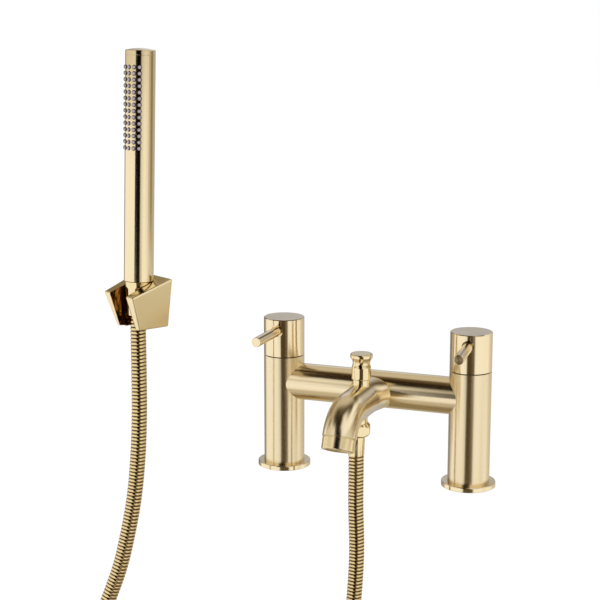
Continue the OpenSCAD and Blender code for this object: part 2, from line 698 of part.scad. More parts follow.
// Shower outlet and the mixer's end of the hose
module outlet_spigot() color(polished_brass) difference() {
    union() {
        difference() {
            at_outlet() column(spigot_foot, spout_z, spigot_d / 2);
            translate([0, 0, spout_z]) rotate([90, 0, 0]) column(0, spout_run, spout_r + seat_fit);
        }
        at_outlet() column(spigot_foot, spout_z - spout_bore - seat_fit, spigot_shank_r);
    }
    at_outlet() column(spigot_foot - over, spout_z, check_valve_d / 2 + seat_fit);
}
valve_len = 8;
module check_valve() color(white_plastic) at_outlet() difference() {
    column(spigot_foot + 1, spigot_foot + 1 + valve_len, check_valve_d / 2);
    for (k = [0:3]) rotate([0, 0, 90 * k]) translate([check_valve_d / 4, 0, 0])
        column(spigot_foot, spigot_foot + 2 * valve_len, check_valve_d / 8);
}
nut_corner = nut_af / 2 / cos(30) + seat_fit;
nut_face = 1.2;
module hose_nut() color(polished_brass) at_outlet() difference() {
    intersection() {
        rotate([0, 0, nut_turn]) hexagon(nut_foot, nut_top, nut_af);
        rotate_extrude() polygon([
            [0, nut_foot], [nut_af / 2 - nut_face, nut_foot], [nut_corner, nut_foot + nut_chamfer],
            [nut_corner, nut_top - nut_chamfer], [nut_af / 2 - nut_face, nut_top], [0, nut_top]]);
    }
    column(nut_foot + nut_lip, nut_top + over, spigot_d / 2 + seat_fit);
    column(nut_foot - over, nut_top, ferrule_top_r + clear);
}
module outlet_washer() color(black_rubber) at_outlet()
    tube(outlet_washer_z, spigot_foot, collar_r, hose_bore / 2);
module outlet_ferrule() color(polished_brass) at_outlet() difference() {
    union() {
        column(collar_z, outlet_washer_z, collar_r);
        column(nut_foot, collar_z + over, ferrule_top_r);
        translate([0, 0, ferrule_foot])
            cylinder(h = ferrule_len, r1 = ferrule_d / 2, r2 = ferrule_top_r);
    }
    column(ferrule_foot - over, outlet_washer_z + over, hose_bore / 2);
}

// The hose, ribbed outside and smooth in its bore, as one skin
hose_sides = 8;
bore_rings = 90;
hose_rings = 2 * hose_ribs + 1;
module hose() color(polished_brass) {
    bore_first = hose_rings * hose_sides;
    outer_last = bore_first - hose_sides;
    bore_last = bore_first + (bore_rings - 1) * hose_sides;
    outside = [for (i = [0:hose_rings - 1])
        let (s = hose_len * i / (hose_rings - 1))
        each ring(hose_point(s), hose_tangent(s), hose_side,
            hose_d / 2 - (i % 2 == 0 ? hose_groove : 0), hose_sides)];
    inside = [for (i = [0:bore_rings - 1])
        let (s = hose_len * i / (bore_rings - 1))
        each ring(hose_point(s), hose_tangent(s), hose_side, hose_bore / 2, hose_sides)];
    ends = [for (k = [0:hose_sides - 1])
        let (n = (k + 1) % hose_sides)
        each [[k, bore_first + k, n], [n, bore_first + k, bore_first + n],
            [outer_last + k, outer_last + n, bore_last + k],
            [outer_last + n, bore_last + n, bore_last + k]]];
    polyhedron(
        points = concat(outside, inside),
        faces = concat(
            skin(hose_rings, hose_sides, 0, true),
            skin(bore_rings, hose_sides, bore_first, false),
            [for (f = ends) [f[0], f[2], f[1]]]));
}

// Wall bracket
slot_top_r = cone_top_d / 2 + clear;
slot_foot = bracket_rise - bracket_h - 2 * over;
slot_foot_r = cone_foot_d / 2 + clear - (cone_foot - slot_foot) * cone_slope;
// Narrowing of the foot from its back to its front, which keeps the bracket's sides flat
inner_depth = bracket_depth - 2 * bracket_round;
inner_h = bracket_h - 2 * bracket_round;
side_slope = (bracket_back_w - bracket_foot_w) / inner_h;
side_taper = (bracket_back_w - bracket_front_w - side_slope * bracket_fall) / inner_depth;
bracket_toe_w = bracket_foot_w - side_taper * (bracket_foot_depth - 2 * bracket_round);
module bracket_corner(half_w, y, z, up) for (side = [-1, 1])
    translate([side * (half_w - bracket_round), y, z - up * bracket_round])
        sphere(r = bracket_round, $fn = 20);
module wall_bracket() color(polished_brass) difference() {
    at_bracket() hull() {
        bracket_corner(bracket_back_w / 2, wall_gap - bracket_round, bracket_top, 1);
        bracket_corner(bracket_front_w / 2, wall_gap - bracket_depth + bracket_round,
            bracket_top - bracket_fall, 1);
        bracket_corner(bracket_foot_w / 2, wall_gap - bracket_round, bracket_foot, -1);
        bracket_corner(bracket_toe_w / 2, wall_gap - bracket_foot_depth + bracket_round, bracket_foot, -1);
    }
    at_socket() {
        translate([0, 0, slot_foot]) cylinder(h = cone_top - slot_foot, r1 = slot_foot_r, r2 = slot_top_r);
        column(cone_top - face_gap, bracket_h, handset_r + 2 * clear);
        rotate([90, 0, 0]) linear_extrude(bracket_depth) polygon([
            [-slot_foot_r + slot_step, slot_foot], [slot_foot_r - slot_step, slot_foot],
            [slot_top_r - slot_step, cone_top], [slot_top_r - slot_step, bracket_h],
            [-slot_top_r + slot_step, bracket_h], [-slot_top_r + slot_step, cone_top]]);
    }
    at_bracket() translate([-slot_w / 2, -bracket_depth, bracket_foot - over])
        cube([slot_w, bracket_depth - slot_reach, bracket_h + 2 * over]);
    at_bracket() for (z = [screw_low, screw_high]) translate([0, wall_gap, z]) rotate([90, 0, 0]) {
        column(-over, wall_gap, screw_d / 2);
        translate([0, 0, screw_land])
            cylinder(h = (screw_head_d - screw_d) / 2, r1 = screw_d / 2, r2 = screw_head_d / 2);
        column(screw_land + (screw_head_d - screw_d) / 2, wall_gap, screw_head_d / 2);
    }
}

// Hand shower
tail_r = ferrule_d / 2;
module handset_ferrule() color(polished_brass) at_socket() difference() {
    union() {
        column(tail_collar_foot, tail_collar_top, collar_r - seat_fit);
        column(hose_end, tail_collar_foot + over, tail_r);
    }
    column(hose_end - over, tail_collar_top + over, hose_bore / 2);
}
module conical_nut() color(polished_brass) at_socket() difference() {
    translate([0, 0, cone_foot]) cylinder(h = cone_len, d1 = cone_foot_d, d2 = cone_top_d);
    column(tail_collar_foot - clear, cone_top + over, inlet_r + clear);
    column(cone_foot - over, cone_top, tail_r + clear);
}
module handset_washer() color(black_rubber) at_socket()
    tube(-inlet_len - hose_washer_t, -inlet_len, inlet_r, hose_bore / 2);
module handset_inlet() color(raw_brass) at_socket() difference() {
    union() {
        column(-inlet_len, inlet_plug, inlet_r);
        column(0, inlet_plug, tube_bore - seat_fit);
    }
    column(-inlet_len - over, inlet_plug + over, hose_bore / 2);
}
module nozzle_places() for (row = [0:nozzle_rows - 1], col = [-2:2])
    rotate([0, 0, handset_turn + col * nozzle_step])
        translate([0, 0, handset_len - nozzle_top - row * nozzle_pitch]) rotate([90, 0, 0]) children();
module handset_tube() color(brushed_brass) at_socket() difference() {
    tube(0, tube_len, handset_r, tube_bore);
    nozzle_places() column(tube_bore - over, handset_r + over, nozzle_hole_d / 2);
}
cap_round = 0.6;
cap_edge = handset_len - cap_crown;
crown_steps = 8;
module handset_cap() color(brushed_brass) at_socket() rotate_extrude() polygon([
    [0, tube_len - cap_plug], [tube_bore - seat_fit, tube_len - cap_plug],
    [tube_bore - seat_fit, tube_len + seat_fit], [handset_r, tube_len + seat_fit],
    [handset_r, cap_edge - cap_round],
    for (k = [0:crown_steps])
        let (r = (handset_r - cap_round) * (1 - k / crown_steps))
        [r, handset_len - cap_crown * pow(r / (handset_r - cap_round), 2)]]);
core_wall = 1.4;
core_flange_t = 4;
module handset_waterway() color(white_plastic) at_socket() difference() {
    union() {
        column(inlet_plug, spray_foot, core_d / 2);
        column(spray_foot - core_flange_t, spray_foot, tube_bore - seat_fit);
    }
    column(inlet_plug - over, spray_foot + over, core_d / 2 - core_wall);
}
module spray_nozzles() color(grey_silicone) at_socket() {
    tube(spray_foot, spray_top, tube_bore - seat_fit, tube_bore - sleeve_t);
    nozzle_places() translate([0, 0, tube_bore - sleeve_t / 2])
        cylinder(h = handset_wall + sleeve_t / 2 + nozzle_proud, d1 = nozzle_d, d2 = 0.7 * nozzle_d);
}

left_pillar();
right_pillar();
bridge();
spout();
left_flange();
right_flange();
left_foot_seal();
right_foot_seal();
left_cartridge();
right_cartridge();
left_seat_washer();
right_seat_washer();
left_fixed_disc();
right_fixed_disc();
left_spindle_seal();
right_spindle_seal();
left_handle();
left_lever();
left_grub_screw();
left_spindle();
left_moving_disc();
right_handle();
right_lever();
right_grub_screw();
right_spindle();
right_moving_disc();
aerator_ring();
aerator_insert();
aerator_seal();
diverter_neck();
diverter_seat();
diverter_spring();
diverter_knob();
diverter_stem();
diverter_plunger();
diverter_seal();
outlet_spigot();
check_valve();
hose_nut();
outlet_washer();
outlet_ferrule();
hose();
wall_bracket();
handset_ferrule();
conical_nut();
handset_washer();
handset_inlet();
handset_tube();
handset_cap();
handset_waterway();
spray_nozzles();
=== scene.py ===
# %% [markdown]
# # A bath shower mixer in brass
# A deck mixer with two lever handles, a pull-up diverter in its short spout, a ribbed metal hose and a
# slim hand shower in a wall bracket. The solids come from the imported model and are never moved. This
# lesson dresses them: it gives each piece its finish, and builds anew, as surfaces worked out with
# numpy, the pieces whose edges and curves decide how the metal shines.

# %% Load the frame
import json
import math

import bpy
import numpy as np
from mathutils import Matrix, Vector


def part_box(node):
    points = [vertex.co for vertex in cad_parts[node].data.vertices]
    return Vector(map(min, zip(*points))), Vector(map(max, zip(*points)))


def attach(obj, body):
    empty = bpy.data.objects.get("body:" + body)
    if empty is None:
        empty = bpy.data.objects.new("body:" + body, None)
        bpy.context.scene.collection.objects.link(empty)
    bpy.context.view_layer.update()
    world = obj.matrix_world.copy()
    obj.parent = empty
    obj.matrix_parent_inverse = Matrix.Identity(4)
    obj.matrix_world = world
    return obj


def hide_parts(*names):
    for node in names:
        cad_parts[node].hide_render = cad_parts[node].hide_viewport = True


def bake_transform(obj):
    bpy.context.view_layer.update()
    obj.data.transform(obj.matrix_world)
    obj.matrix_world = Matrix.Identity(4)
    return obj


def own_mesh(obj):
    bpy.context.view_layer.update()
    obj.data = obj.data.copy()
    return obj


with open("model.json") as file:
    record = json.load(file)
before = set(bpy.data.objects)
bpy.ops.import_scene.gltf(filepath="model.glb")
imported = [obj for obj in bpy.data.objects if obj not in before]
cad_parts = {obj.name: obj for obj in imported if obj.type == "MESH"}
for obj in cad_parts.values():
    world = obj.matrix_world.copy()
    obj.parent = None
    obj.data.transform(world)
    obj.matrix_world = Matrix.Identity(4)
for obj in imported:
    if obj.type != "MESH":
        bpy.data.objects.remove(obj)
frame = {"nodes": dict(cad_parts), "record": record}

MM = 0.001
scene = bpy.context.scene
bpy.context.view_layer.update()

# %% [markdown]
# ## Camera
# The photograph was taken with a long lens, a little from the right and from above. The camera was
# fitted to the two inlets, which stand 180 mm apart, so its place is given as a distance and two
# angles round the mixer's origin, and its view as two more angles.

# %% Camera
camera_distance = 1.414
camera_azimuth = math.radians(18.06)
camera_elevation = math.radians(17.96)
camera_yaw = math.radians(21.01)
camera_pitch = math.radians(11.40)

camera = bpy.data.objects.new("camera", bpy.data.cameras.new("camera"))
camera.data.sensor_width = 36.0
camera.data.lens = 90.24
camera.location = (
    camera_distance * math.cos(camera_elevation) * math.sin(camera_azimuth),
    -camera_distance * math.cos(camera_elevation) * math.cos(camera_azimuth),
    camera_distance * math.sin(camera_elevation),
)
camera.rotation_euler = (math.pi / 2 - camera_pitch, 0.0, camera_yaw)
scene.collection.objects.link(camera)
scene.camera = camera
print("camera at", [round(v, 3) for v in camera.location])

# %% [markdown]
# ## From arrays to a mesh
# Nearly every piece here is a grid of points: rows along a profile or a path, and columns round it.
# Blender can take such a grid as whole arrays with foreach_set, which is much faster than adding faces
# one by one. A row whose points all fall together is a pole, and its quads become triangles.

# %% Grid to mesh
def signed_volume(points, quads):
    """Volume inside a closed surface: the sum of a . (b x c) / 6 over the two triangles of each quad."""
    a, b, c, d = (points[quads[:, k]] for k in range(4))
    first = np.einsum("ij,ij->i", a, np.cross(b, c))
    second = np.einsum("ij,ij->i", a, np.cross(c, d))
    return (first.sum() + second.sum()) / 6.0


def grid_corners(points, wrap_rows=False):
    """Faces of a grid of points, shape (rows, columns, 3), whose columns close into rings.

    A quad joins (i, j), (i, j+1), (i+1, j+1) and (i+1, j). With wrap_rows the last row joins the first.
    The UV map runs along the rows in u, in metres, and once round the columns in v. Returns the points,
    the quads as point numbers, which of their corners to keep, and the corners' UVs."""
    rows, columns = points.shape[:2]
    flat = points.reshape(-1, 3)
    index = np.arange(rows * columns).reshape(rows, columns)
    pole = np.ptp(points, axis=1).max(axis=1) < 1e-9
    index[pole] = index[pole, :1]
    here = np.arange(rows if wrap_rows else rows - 1)
    there = (here + 1) % rows
    beside = np.roll(index, -1, axis=1)
    quads = np.stack([index[here], beside[here], beside[there], index[there]], axis=-1).reshape(-1, 4)

    steps = np.linalg.norm(points[there] - points[here], axis=2).max(axis=1)
    along = np.concatenate([[0.0], np.cumsum(steps)])
    u0, v0 = np.meshgrid(along[:-1], np.arange(columns) / columns, indexing="ij")
    u1, v1 = np.meshgrid(along[1:], (np.arange(columns) + 1) / columns, indexing="ij")
    corner_u = np.stack([u0, u0, u1, u1], axis=-1).reshape(-1, 4)
    corner_v = np.stack([v0, v1, v1, v0], axis=-1).reshape(-1, 4)

    if signed_volume(flat, quads) < 0:
        quads, corner_u, corner_v = quads[:, ::-1], corner_u[:, ::-1], corner_v[:, ::-1]
    keep = quads != np.roll(quads, 1, axis=1)
    return flat, quads, keep, np.stack([corner_u, corner_v], axis=-1)


def mesh_from_corners(name, flat, quads, keep, corner_uv):
    """Mesh from quads of point numbers, of which only the corners marked in keep are used."""
    sizes = keep.sum(axis=1)
    real = sizes > 2
    keep = keep & real[:, None]
    used, corners = np.unique(quads[keep], return_inverse=True)
    starts = np.concatenate([[0], np.cumsum(sizes[real])[:-1]])
    mesh = bpy.data.meshes.new(name)
    mesh.vertices.add(len(used))
    mesh.vertices.foreach_set("co", flat[used].astype(np.float32).ravel())
    mesh.loops.add(len(corners))
    mesh.loops.foreach_set("vertex_index", corners.astype(np.int32).ravel())
    mesh.polygons.add(len(starts))
    mesh.polygons.foreach_set("loop_start", starts.astype(np.int32))
    mesh.polygons.foreach_set("use_smooth", np.ones(len(starts), dtype=bool))
    mesh.update(calc_edges=True)
    layer = mesh.uv_layers.new(name="surface")
    layer.data.foreach_set("uv", corner_uv[keep].astype(np.float32).ravel())
    mesh.validate()
    return mesh


def grid_mesh(name, points, wrap_rows=False):
    """Mesh of one grid of points."""
    return mesh_from_corners(name, *grid_corners(points, wrap_rows))


# %% [markdown]
# ## Pieces and bodies
# A new piece rides on one of the part's bodies when it is given one, takes the finish that it is given and
# hides the solids that it replaces. All pieces go through one function, so that none of this is forgotten.

# %% Add a piece
def add_piece(name, mesh, material, body, replaced=()):
    """Object of a mesh in the scene, riding on a body and standing for the nodes that it replaces."""
    mesh.materials.append(material)
    piece = bpy.data.objects.new(name, mesh)
    scene.collection.objects.link(piece)
    if body:
        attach(piece, body)
    if replaced:
        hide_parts(*replaced)
    print(name, "has", len(mesh.polygons), "faces")
    return piece


# %% [markdown]
# ## Materials: the tools
# Colours are written as sRGB hex values and turned to linear light by one function. One small function
# adds a node, so that each material below reads as a list of what feeds what.

# %% Colour and node helpers
def linear(hex_colour):
    """Linear RGBA of an sRGB hex colour: c / 12.92 below 0.04045, else ((c + 0.055) / 1.055) ^ 2.4."""
    channels = np.array([int(hex_colour[k:k + 2], 16) for k in (1, 3, 5)]) / 255.0
    low = channels / 12.92
    high = ((channels + 0.055) / 1.055) ** 2.4
    return (*np.where(channels <= 0.04045, low, high).tolist(), 1.0)


def add_node(tree, kind, values=None, links=None, marks=(), **settings):
    """Adds a node with its own settings, its socket values and the sockets that feed it.

    marks are the stops of a colour ramp, as (position, colour)."""
    node = tree.nodes.new(kind)
    for name, value in settings.items():
        setattr(node, name, value)
    for socket, value in (values or {}).items():
        node.inputs[socket].default_value = value
    for socket, source in (links or {}).items():
        tree.links.new(source, node.inputs[socket])
    for _ in marks[2:]:
        node.color_ramp.elements.new(0.5)
    if marks:
        for element, (position, colour) in zip(node.color_ramp.elements, marks):
            element.position = position
            element.color = colour
    return node


def new_material(name):
    """Material with an empty node tree and a Principled shader on its output."""
    material = bpy.data.materials.new(name)
    material.use_nodes = True
    tree = material.node_tree
    tree.nodes.clear()
    shader = add_node(tree, "ShaderNodeBsdfPrincipled")
    add_node(tree, "ShaderNodeOutputMaterial", links={"Surface": shader.outputs["BSDF"]})
    return material, tree, shader


# %% [markdown]
# ## Brushed and polished brass
# The mixer is plated in a pale brass. Pillars, bridge, spout, handles and hand shower are brushed: a fine
# belt was run round them, which leaves hair lines round each axis. A line pattern on distance from the
# axis and height along it gives lines round a cylinder and rings on its top, so one recipe serves every
# turned piece. Lines smear a reflection across themselves, so the gloss is stretched along each axis.
# Knob, nuts and hose are polished and mirror evenly, and the bracket and the aerator ring keep the even
# soft gloss of a fine casting. Metal keeps the default IOR.

# %% Hair lines
def place_from_axis(tree, centre, turn):
    """Place of a point as an axis sees it: the centre is the origin and the axis is Z."""
    place = add_node(tree, "ShaderNodeTexCoord")
    return add_node(
        tree, "ShaderNodeMapping", vector_type="TEXTURE",
        values={"Location": centre, "Rotation": turn},
        links={"Vector": place.outputs["Object"]}).outputs["Vector"]


def line_coordinates(tree, place, line):
    """Radius from the axis and height along it, in line widths, so that a pattern runs round the axis."""
    parts = add_node(tree, "ShaderNodeSeparateXYZ", links={"Vector": place})
    flat = add_node(
        tree, "ShaderNodeCombineXYZ", links={"X": parts.outputs["X"], "Y": parts.outputs["Y"]})
    radius = add_node(
        tree, "ShaderNodeVectorMath", operation="LENGTH", links={0: flat.outputs["Vector"]})
    pair = add_node(
        tree, "ShaderNodeCombineXYZ", links={"X": radius.outputs["Value"], "Y": parts.outputs["Z"]})
    return add_node(
        tree, "ShaderNodeVectorMath", operation="SCALE",
        values={"Scale": 1.0 / line}, links={0: pair.outputs["Vector"]}).outputs["Vector"]


def across_lines(tree, place, turn):
    """Direction across the hair lines, (axis x place) x normal: along a side, outward on an end face."""
    along_line = add_node(
        tree, "ShaderNodeVectorMath", operation="CROSS_PRODUCT", values={0: (0, 0, 1)}, links={1: place})
    turned_back = add_node(
        tree, "ShaderNodeVectorRotate", rotation_type="EULER_XYZ", values={"Rotation": turn},
        links={"Vector": along_line.outputs["Vector"]})
    in_world = add_node(
        tree, "ShaderNodeVectorTransform", vector_type="VECTOR", convert_from="OBJECT", convert_to="WORLD",
        links={"Vector": turned_back.outputs["Vector"]})
    surface = add_node(tree, "ShaderNodeNewGeometry")
    return add_node(
        tree, "ShaderNodeVectorMath", operation="CROSS_PRODUCT",
        links={0: in_world.outputs["Vector"], 1: surface.outputs["Normal"]}).outputs["Vector"]


# %% [markdown]
# ## Along the bent spout, and painted shade
# The spout bends, so the direction across its hair lines turns with its path. It is worked out from the
# centre of the bend. Painted shade turns grooves and roots dark brown, and a point attribute says where they
# are.

# %% Spout direction and painted shade
spout_z = 80.55 * MM
bend_start = -69.5 * MM
bend_r = 31.3 * MM
spout_bend_centre = (0, bend_start, spout_z - bend_r)


def along_spout(tree):
    """Direction of the spout's path: straight ahead, then square to the arm from the bend's centre."""
    place = add_node(tree, "ShaderNodeTexCoord")
    arm = add_node(
        tree, "ShaderNodeVectorMath", operation="SUBTRACT", values={1: spout_bend_centre},
        links={0: place.outputs["Object"]})
    parts = add_node(tree, "ShaderNodeSeparateXYZ", links={"Vector": arm.outputs["Vector"]})
    ahead = add_node(
        tree, "ShaderNodeMath", operation="MULTIPLY", values={1: -1.0}, links={0: parts.outputs["Z"]})
    down = add_node(
        tree, "ShaderNodeMath", operation="MINIMUM", values={1: 0.0}, links={0: parts.outputs["Y"]})
    return add_node(
        tree, "ShaderNodeCombineXYZ",
        links={"Y": ahead.outputs["Value"], "Z": down.outputs["Value"]}).outputs["Vector"]


def darkened(tree, colour, attribute, dark, low, high):
    """Colour with painted shade: it turns dark where a point attribute falls from high to low."""
    value = add_node(tree, "ShaderNodeAttribute", attribute_name=attribute)
    share = add_node(
        tree, "ShaderNodeMapRange", values={"From Min": low, "From Max": high},
        links={"Value": value.outputs["Fac"]})
    return add_node(
        tree, "ShaderNodeMix", data_type="RGBA", values={6: linear(dark)},
        links={0: share.outputs["Result"], 7: colour}).outputs[2]


# %% [markdown]
# ## One pattern for colour, gloss and relief
# On real metal the same scratch changes the tone, the gloss and the height. So one noise drives all
# three, both in the brass here and in the plain materials further down.

# %% Brass
def follow(tree, shader, pattern, tones, rough, depth, span=(0.0, 1.0), painted_shade=None):
    """Lets the shader follow a pattern: colour and roughness are straight lines between two values.

    tones are the hex colours at 0 and 1 of the pattern, rough the roughness at both ends of its span
    and depth the height of its relief, in metres. The last argument holds what darkened needs for painted
    shade."""
    colour = add_node(
        tree, "ShaderNodeMix", data_type="RGBA",
        values={6: linear(tones[0]), 7: linear(tones[1])}, links={0: pattern}).outputs[2]
    # Painted shade darkens the colour where a point attribute marks a groove or a root
    if painted_shade:
        colour = darkened(tree, colour, *painted_shade)
    gloss = add_node(
        tree, "ShaderNodeMapRange",
        values={"From Min": span[0], "From Max": span[1], "To Min": rough[0], "To Max": rough[1]},
        links={"Value": pattern})
    relief = add_node(
        tree, "ShaderNodeBump", values={"Strength": 1.0, "Distance": depth}, links={"Height": pattern})
    tree.links.new(colour, shader.inputs["Base Color"])
    tree.links.new(gloss.outputs["Result"], shader.inputs["Roughness"])
    tree.links.new(relief.outputs["Normal"], shader.inputs["Normal"])


def brass(name, tones, rough, line, depth, smear=0.0, centre=(0, 0, 0), turn=(0, 0, 0), direction=None,
          groove=None):
    """Plated brass with hair lines round the axis that centre and turn give.

    line is the width of a hair line in metres, and tones, rough and depth are as in follow. smear
    stretches the gloss across the lines or along a direction of its own, and groove names a point
    attribute that is low in a groove, where painted shade turns the colour dark brown, and 1 on a crest."""
    material, tree, shader = new_material(name)
    shader.inputs["Metallic"].default_value = 1.0
    place = place_from_axis(tree, centre, turn)
    lines = add_node(
        tree, "ShaderNodeTexNoise", noise_dimensions="2D",
        values={"Scale": 1.0, "Detail": 3.0, "Roughness": 0.6},
        links={"Vector": line_coordinates(tree, place, line)})
    # Painted shade: where groove is given, the colour turns dark brown, #2E1C0A, in the grooves
    follow(
        tree, shader, lines.outputs["Fac"], tones, rough, depth, span=(0.3, 0.7),
        painted_shade=(groove, "#2E1C0A", 0.58, 0.93) if groove else None)
    if smear:
        shader.inputs["Anisotropic"].default_value = smear
        tree.links.new(
            direction(tree) if direction else across_lines(tree, place, turn), shader.inputs["Tangent"])
    return material


# %% [markdown]
# ## The finishes of this mixer
# A coarse belt gives satin brass, with broad soft streaks of light. A finer one gives brushed brass, in
# which edges can be made out. Buffing gives a clear mirror, and a blasted casting shines softly all round.

# %% Finishes
# Real hair lines are about 0.05 mm wide. They are drawn coarser, so that a picture can hold them.
SATIN = {
    "tones": ("#F4E1B8", "#F8E7C4"), "rough": (0.24, 0.27), "smear": 0.8,
    "line": 0.5 * MM, "depth": 0.0002 * MM}
BRUSHED = {
    "tones": ("#F5E2B9", "#F9E8C3"), "rough": (0.14, 0.16), "smear": 0.7,
    "line": 0.5 * MM, "depth": 0.0001 * MM}
BRIGHT = {
    "tones": ("#F3DFAF", "#F7E4B8"), "rough": (0.05, 0.07), "line": 0.5 * MM, "depth": 0.00005 * MM}
CAST = {
    "tones": ("#F3DFAF", "#F7E4B8"), "rough": (0.16, 0.20), "line": 0.5 * MM, "depth": 0.0001 * MM}
# The bridge and the spout are rubbed smoother than the pillars, and the hose is a deeper, duller yellow
SOFT = {**SATIN, "rough": (0.17, 0.19), "smear": 0.45}
SPOUT = {**SATIN, "rough": (0.21, 0.23), "smear": 0.5}
RIBS = {**BRIGHT, "tones": ("#EDD098", "#F5DCA8"), "rough": (0.10, 0.13)}
print("finishes: satin, brushed, bright, cast, soft, spout and ribs")

# %% [markdown]
# ## Painted shade in the slot of the bracket
# The inside of the slot is painted shade, nearly black, with blotches of painted amber highlight. One
# material can do both if its colour changes at a distance from the slot's middle, which needs no second mesh.

# %% Painted shade in the slot
def painted_slot_shade(material, centre, turn, reach):
    """Paints shade on the inside of a slot that opens towards -Y of an axis, up to reach from the axis.

    The distance is the length of (x, max(y, 0)), so that it follows the socket's round back. Blotches
    of about 4 mm, drawn long along the slot, vary from nearly black painted shade to amber painted highlight."""
    tree = material.node_tree
    shader = tree.nodes["Principled BSDF"]
    place = place_from_axis(tree, centre, turn)
    stretched = add_node(
        tree, "ShaderNodeVectorMath", operation="MULTIPLY", values={1: (1, 1, 0.35)}, links={0: place})
    blotches = add_node(
        tree, "ShaderNodeTexNoise", values={"Scale": 1.0 / (4 * MM), "Detail": 2.0},
        links={"Vector": stretched.outputs["Vector"]})
    # Painted shade and painted highlight in the slot: nearly black #170C02 to amber #A9742C
    painted_shade = add_node(
        tree, "ShaderNodeValToRGB", links={"Fac": blotches.outputs["Fac"]},
        marks=[(0.4, linear("#170C02")), (0.6, linear("#A9742C"))])
    parts = add_node(tree, "ShaderNodeSeparateXYZ", links={"Vector": place})
    behind = add_node(
        tree, "ShaderNodeMath", operation="MAXIMUM", values={1: 0.0}, links={0: parts.outputs["Y"]})
    flat = add_node(
        tree, "ShaderNodeCombineXYZ", links={"X": parts.outputs["X"], "Y": behind.outputs["Value"]})
    distance = add_node(tree, "ShaderNodeVectorMath", operation="LENGTH", links={0: flat.outputs["Vector"]})
    share = add_node(
        tree, "ShaderNodeMapRange", values={"From Min": reach, "From Max": reach + 0.2 * MM},
        links={"Value": distance.outputs["Value"]})
    colour = add_node(
        tree, "ShaderNodeMix", data_type="RGBA",
        links={0: share.outputs["Result"], 6: painted_shade.outputs["Color"],
               7: shader.inputs["Base Color"].links[0].from_socket})
    tree.links.new(colour.outputs[2], shader.inputs["Base Color"])
    return material


# %% [markdown]
# ## Brass for each piece
# Every turned piece needs its own axis, so each gets a material of its own. The axes come from the boxes
# of the solids, and a turn lays an axis along X, along Y or along the leaning hand shower.

# %% Brass of each piece
def axis_of(node):
    """Middle of a node's box."""
    low, high = (np.array(corner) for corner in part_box(node))
    return tuple(((low + high) / 2).tolist())


left_axis = axis_of("left_pillar")
right_axis = axis_of("right_pillar")
spout_axis = axis_of("spout")
diverter_axis = axis_of("diverter_knob")
outlet_axis = axis_of("hose_nut")
socket_axis = axis_of("conical_nut")
socket_x = -180.5 * MM
socket_y = -118 * MM
right_turn = math.radians(5.5)
bracket_turn = math.radians(-28.6)
lean = math.radians(2.0)
ALONG_X = (0, math.pi / 2, 0)
ALONG_Y = (math.pi / 2, 0, 0)
RIGHT_LEVER = (math.pi / 2, 0, right_turn)
LEANING = (-lean, 0, bracket_turn)

satin_left = brass("satin_brass_left_pillar", centre=left_axis, **SATIN)
satin_right = brass("satin_brass_right_pillar", centre=right_axis, **SATIN)
satin_bridge = brass("satin_brass_bridge", centre=axis_of("bridge"), turn=ALONG_X, **SOFT)
satin_spout = brass("satin_brass_spout", centre=spout_axis, turn=ALONG_Y, direction=along_spout, **SPOUT)
brushed_left = brass("brushed_brass_left_handle", centre=left_axis, **BRUSHED)
brushed_right = brass("brushed_brass_right_handle", centre=right_axis, **BRUSHED)
left_rod = brass("brushed_brass_left_lever", centre=axis_of("left_lever"), turn=ALONG_Y, **BRUSHED)
right_rod = brass("brushed_brass_right_lever", centre=axis_of("right_lever"), turn=RIGHT_LEVER, **BRUSHED)
brushed_shower = brass("brushed_brass_hand_shower", centre=socket_axis, turn=LEANING, **BRUSHED)
bright_diverter = brass("bright_brass_diverter", centre=diverter_axis, **BRIGHT)
bright_outlet = brass("bright_brass_outlet", centre=outlet_axis, **BRIGHT)
satin_aerator = brass("satin_brass_aerator", centre=spout_axis, turn=ALONG_Y, **CAST)
bright_hose = brass("bright_brass_hose", centre=outlet_axis, groove="crest", **RIBS)
bright_socket = brass("bright_brass_socket", centre=socket_axis, **BRIGHT)
# The bracket carries painted shade and painted highlight inside its slot
cast_bracket = painted_slot_shade(
    brass("fine_cast_brass_bracket", centre=socket_axis, **CAST),
    centre=(socket_x, socket_y, 0), turn=(0, 0, bracket_turn), reach=12.9 * MM)
print("brass finishes made")

# %% [markdown]
# ## The other materials
# Inside the mixer are machined brass, black nitrile rubber, white alumina, drawn steel, acetal and the
# soft grey silicone of the nozzles. Each gets its common look with a fine grain of its own size.

# %% Grained materials
def grained(name, tones, rough, grain, depth, metallic=0.0, ior=1.45, root=None):
    """Material whose colour, gloss and relief follow one noise of the given grain size in metres.

    root names a point attribute that is low at the root of a piece, which painted shade darkens."""
    material, tree, shader = new_material(name)
    shader.inputs["Metallic"].default_value = metallic
    if not metallic:
        shader.inputs["IOR"].default_value = ior
    place = add_node(tree, "ShaderNodeTexCoord")
    noise = add_node(
        tree, "ShaderNodeTexNoise", values={"Scale": 1.0 / grain, "Detail": 4.0},
        links={"Vector": place.outputs["Object"]})
    # Painted shade: where root is given, the root of the piece turns dark brown, #33251C
    follow(
        tree, shader, noise.outputs["Fac"], tones, rough, depth,
        painted_shade=(root, "#33251C", 0.35, 0.85) if root else None)
    return material


# Turned and not polished: warm, with a dull shine
machined_brass = grained(
    "machined_brass", ("#B08A4C", "#C49E5E"), (0.25, 0.4), 0.6 * MM, 0.003 * MM, metallic=1.0)
# Drawn through a die: grey, bright along the wire
steel_wire = grained(
    "drawn_stainless_steel", ("#A9ACAF", "#C2C4C6"), (0.2, 0.35), 0.5 * MM, 0.002 * MM, metallic=1.0)
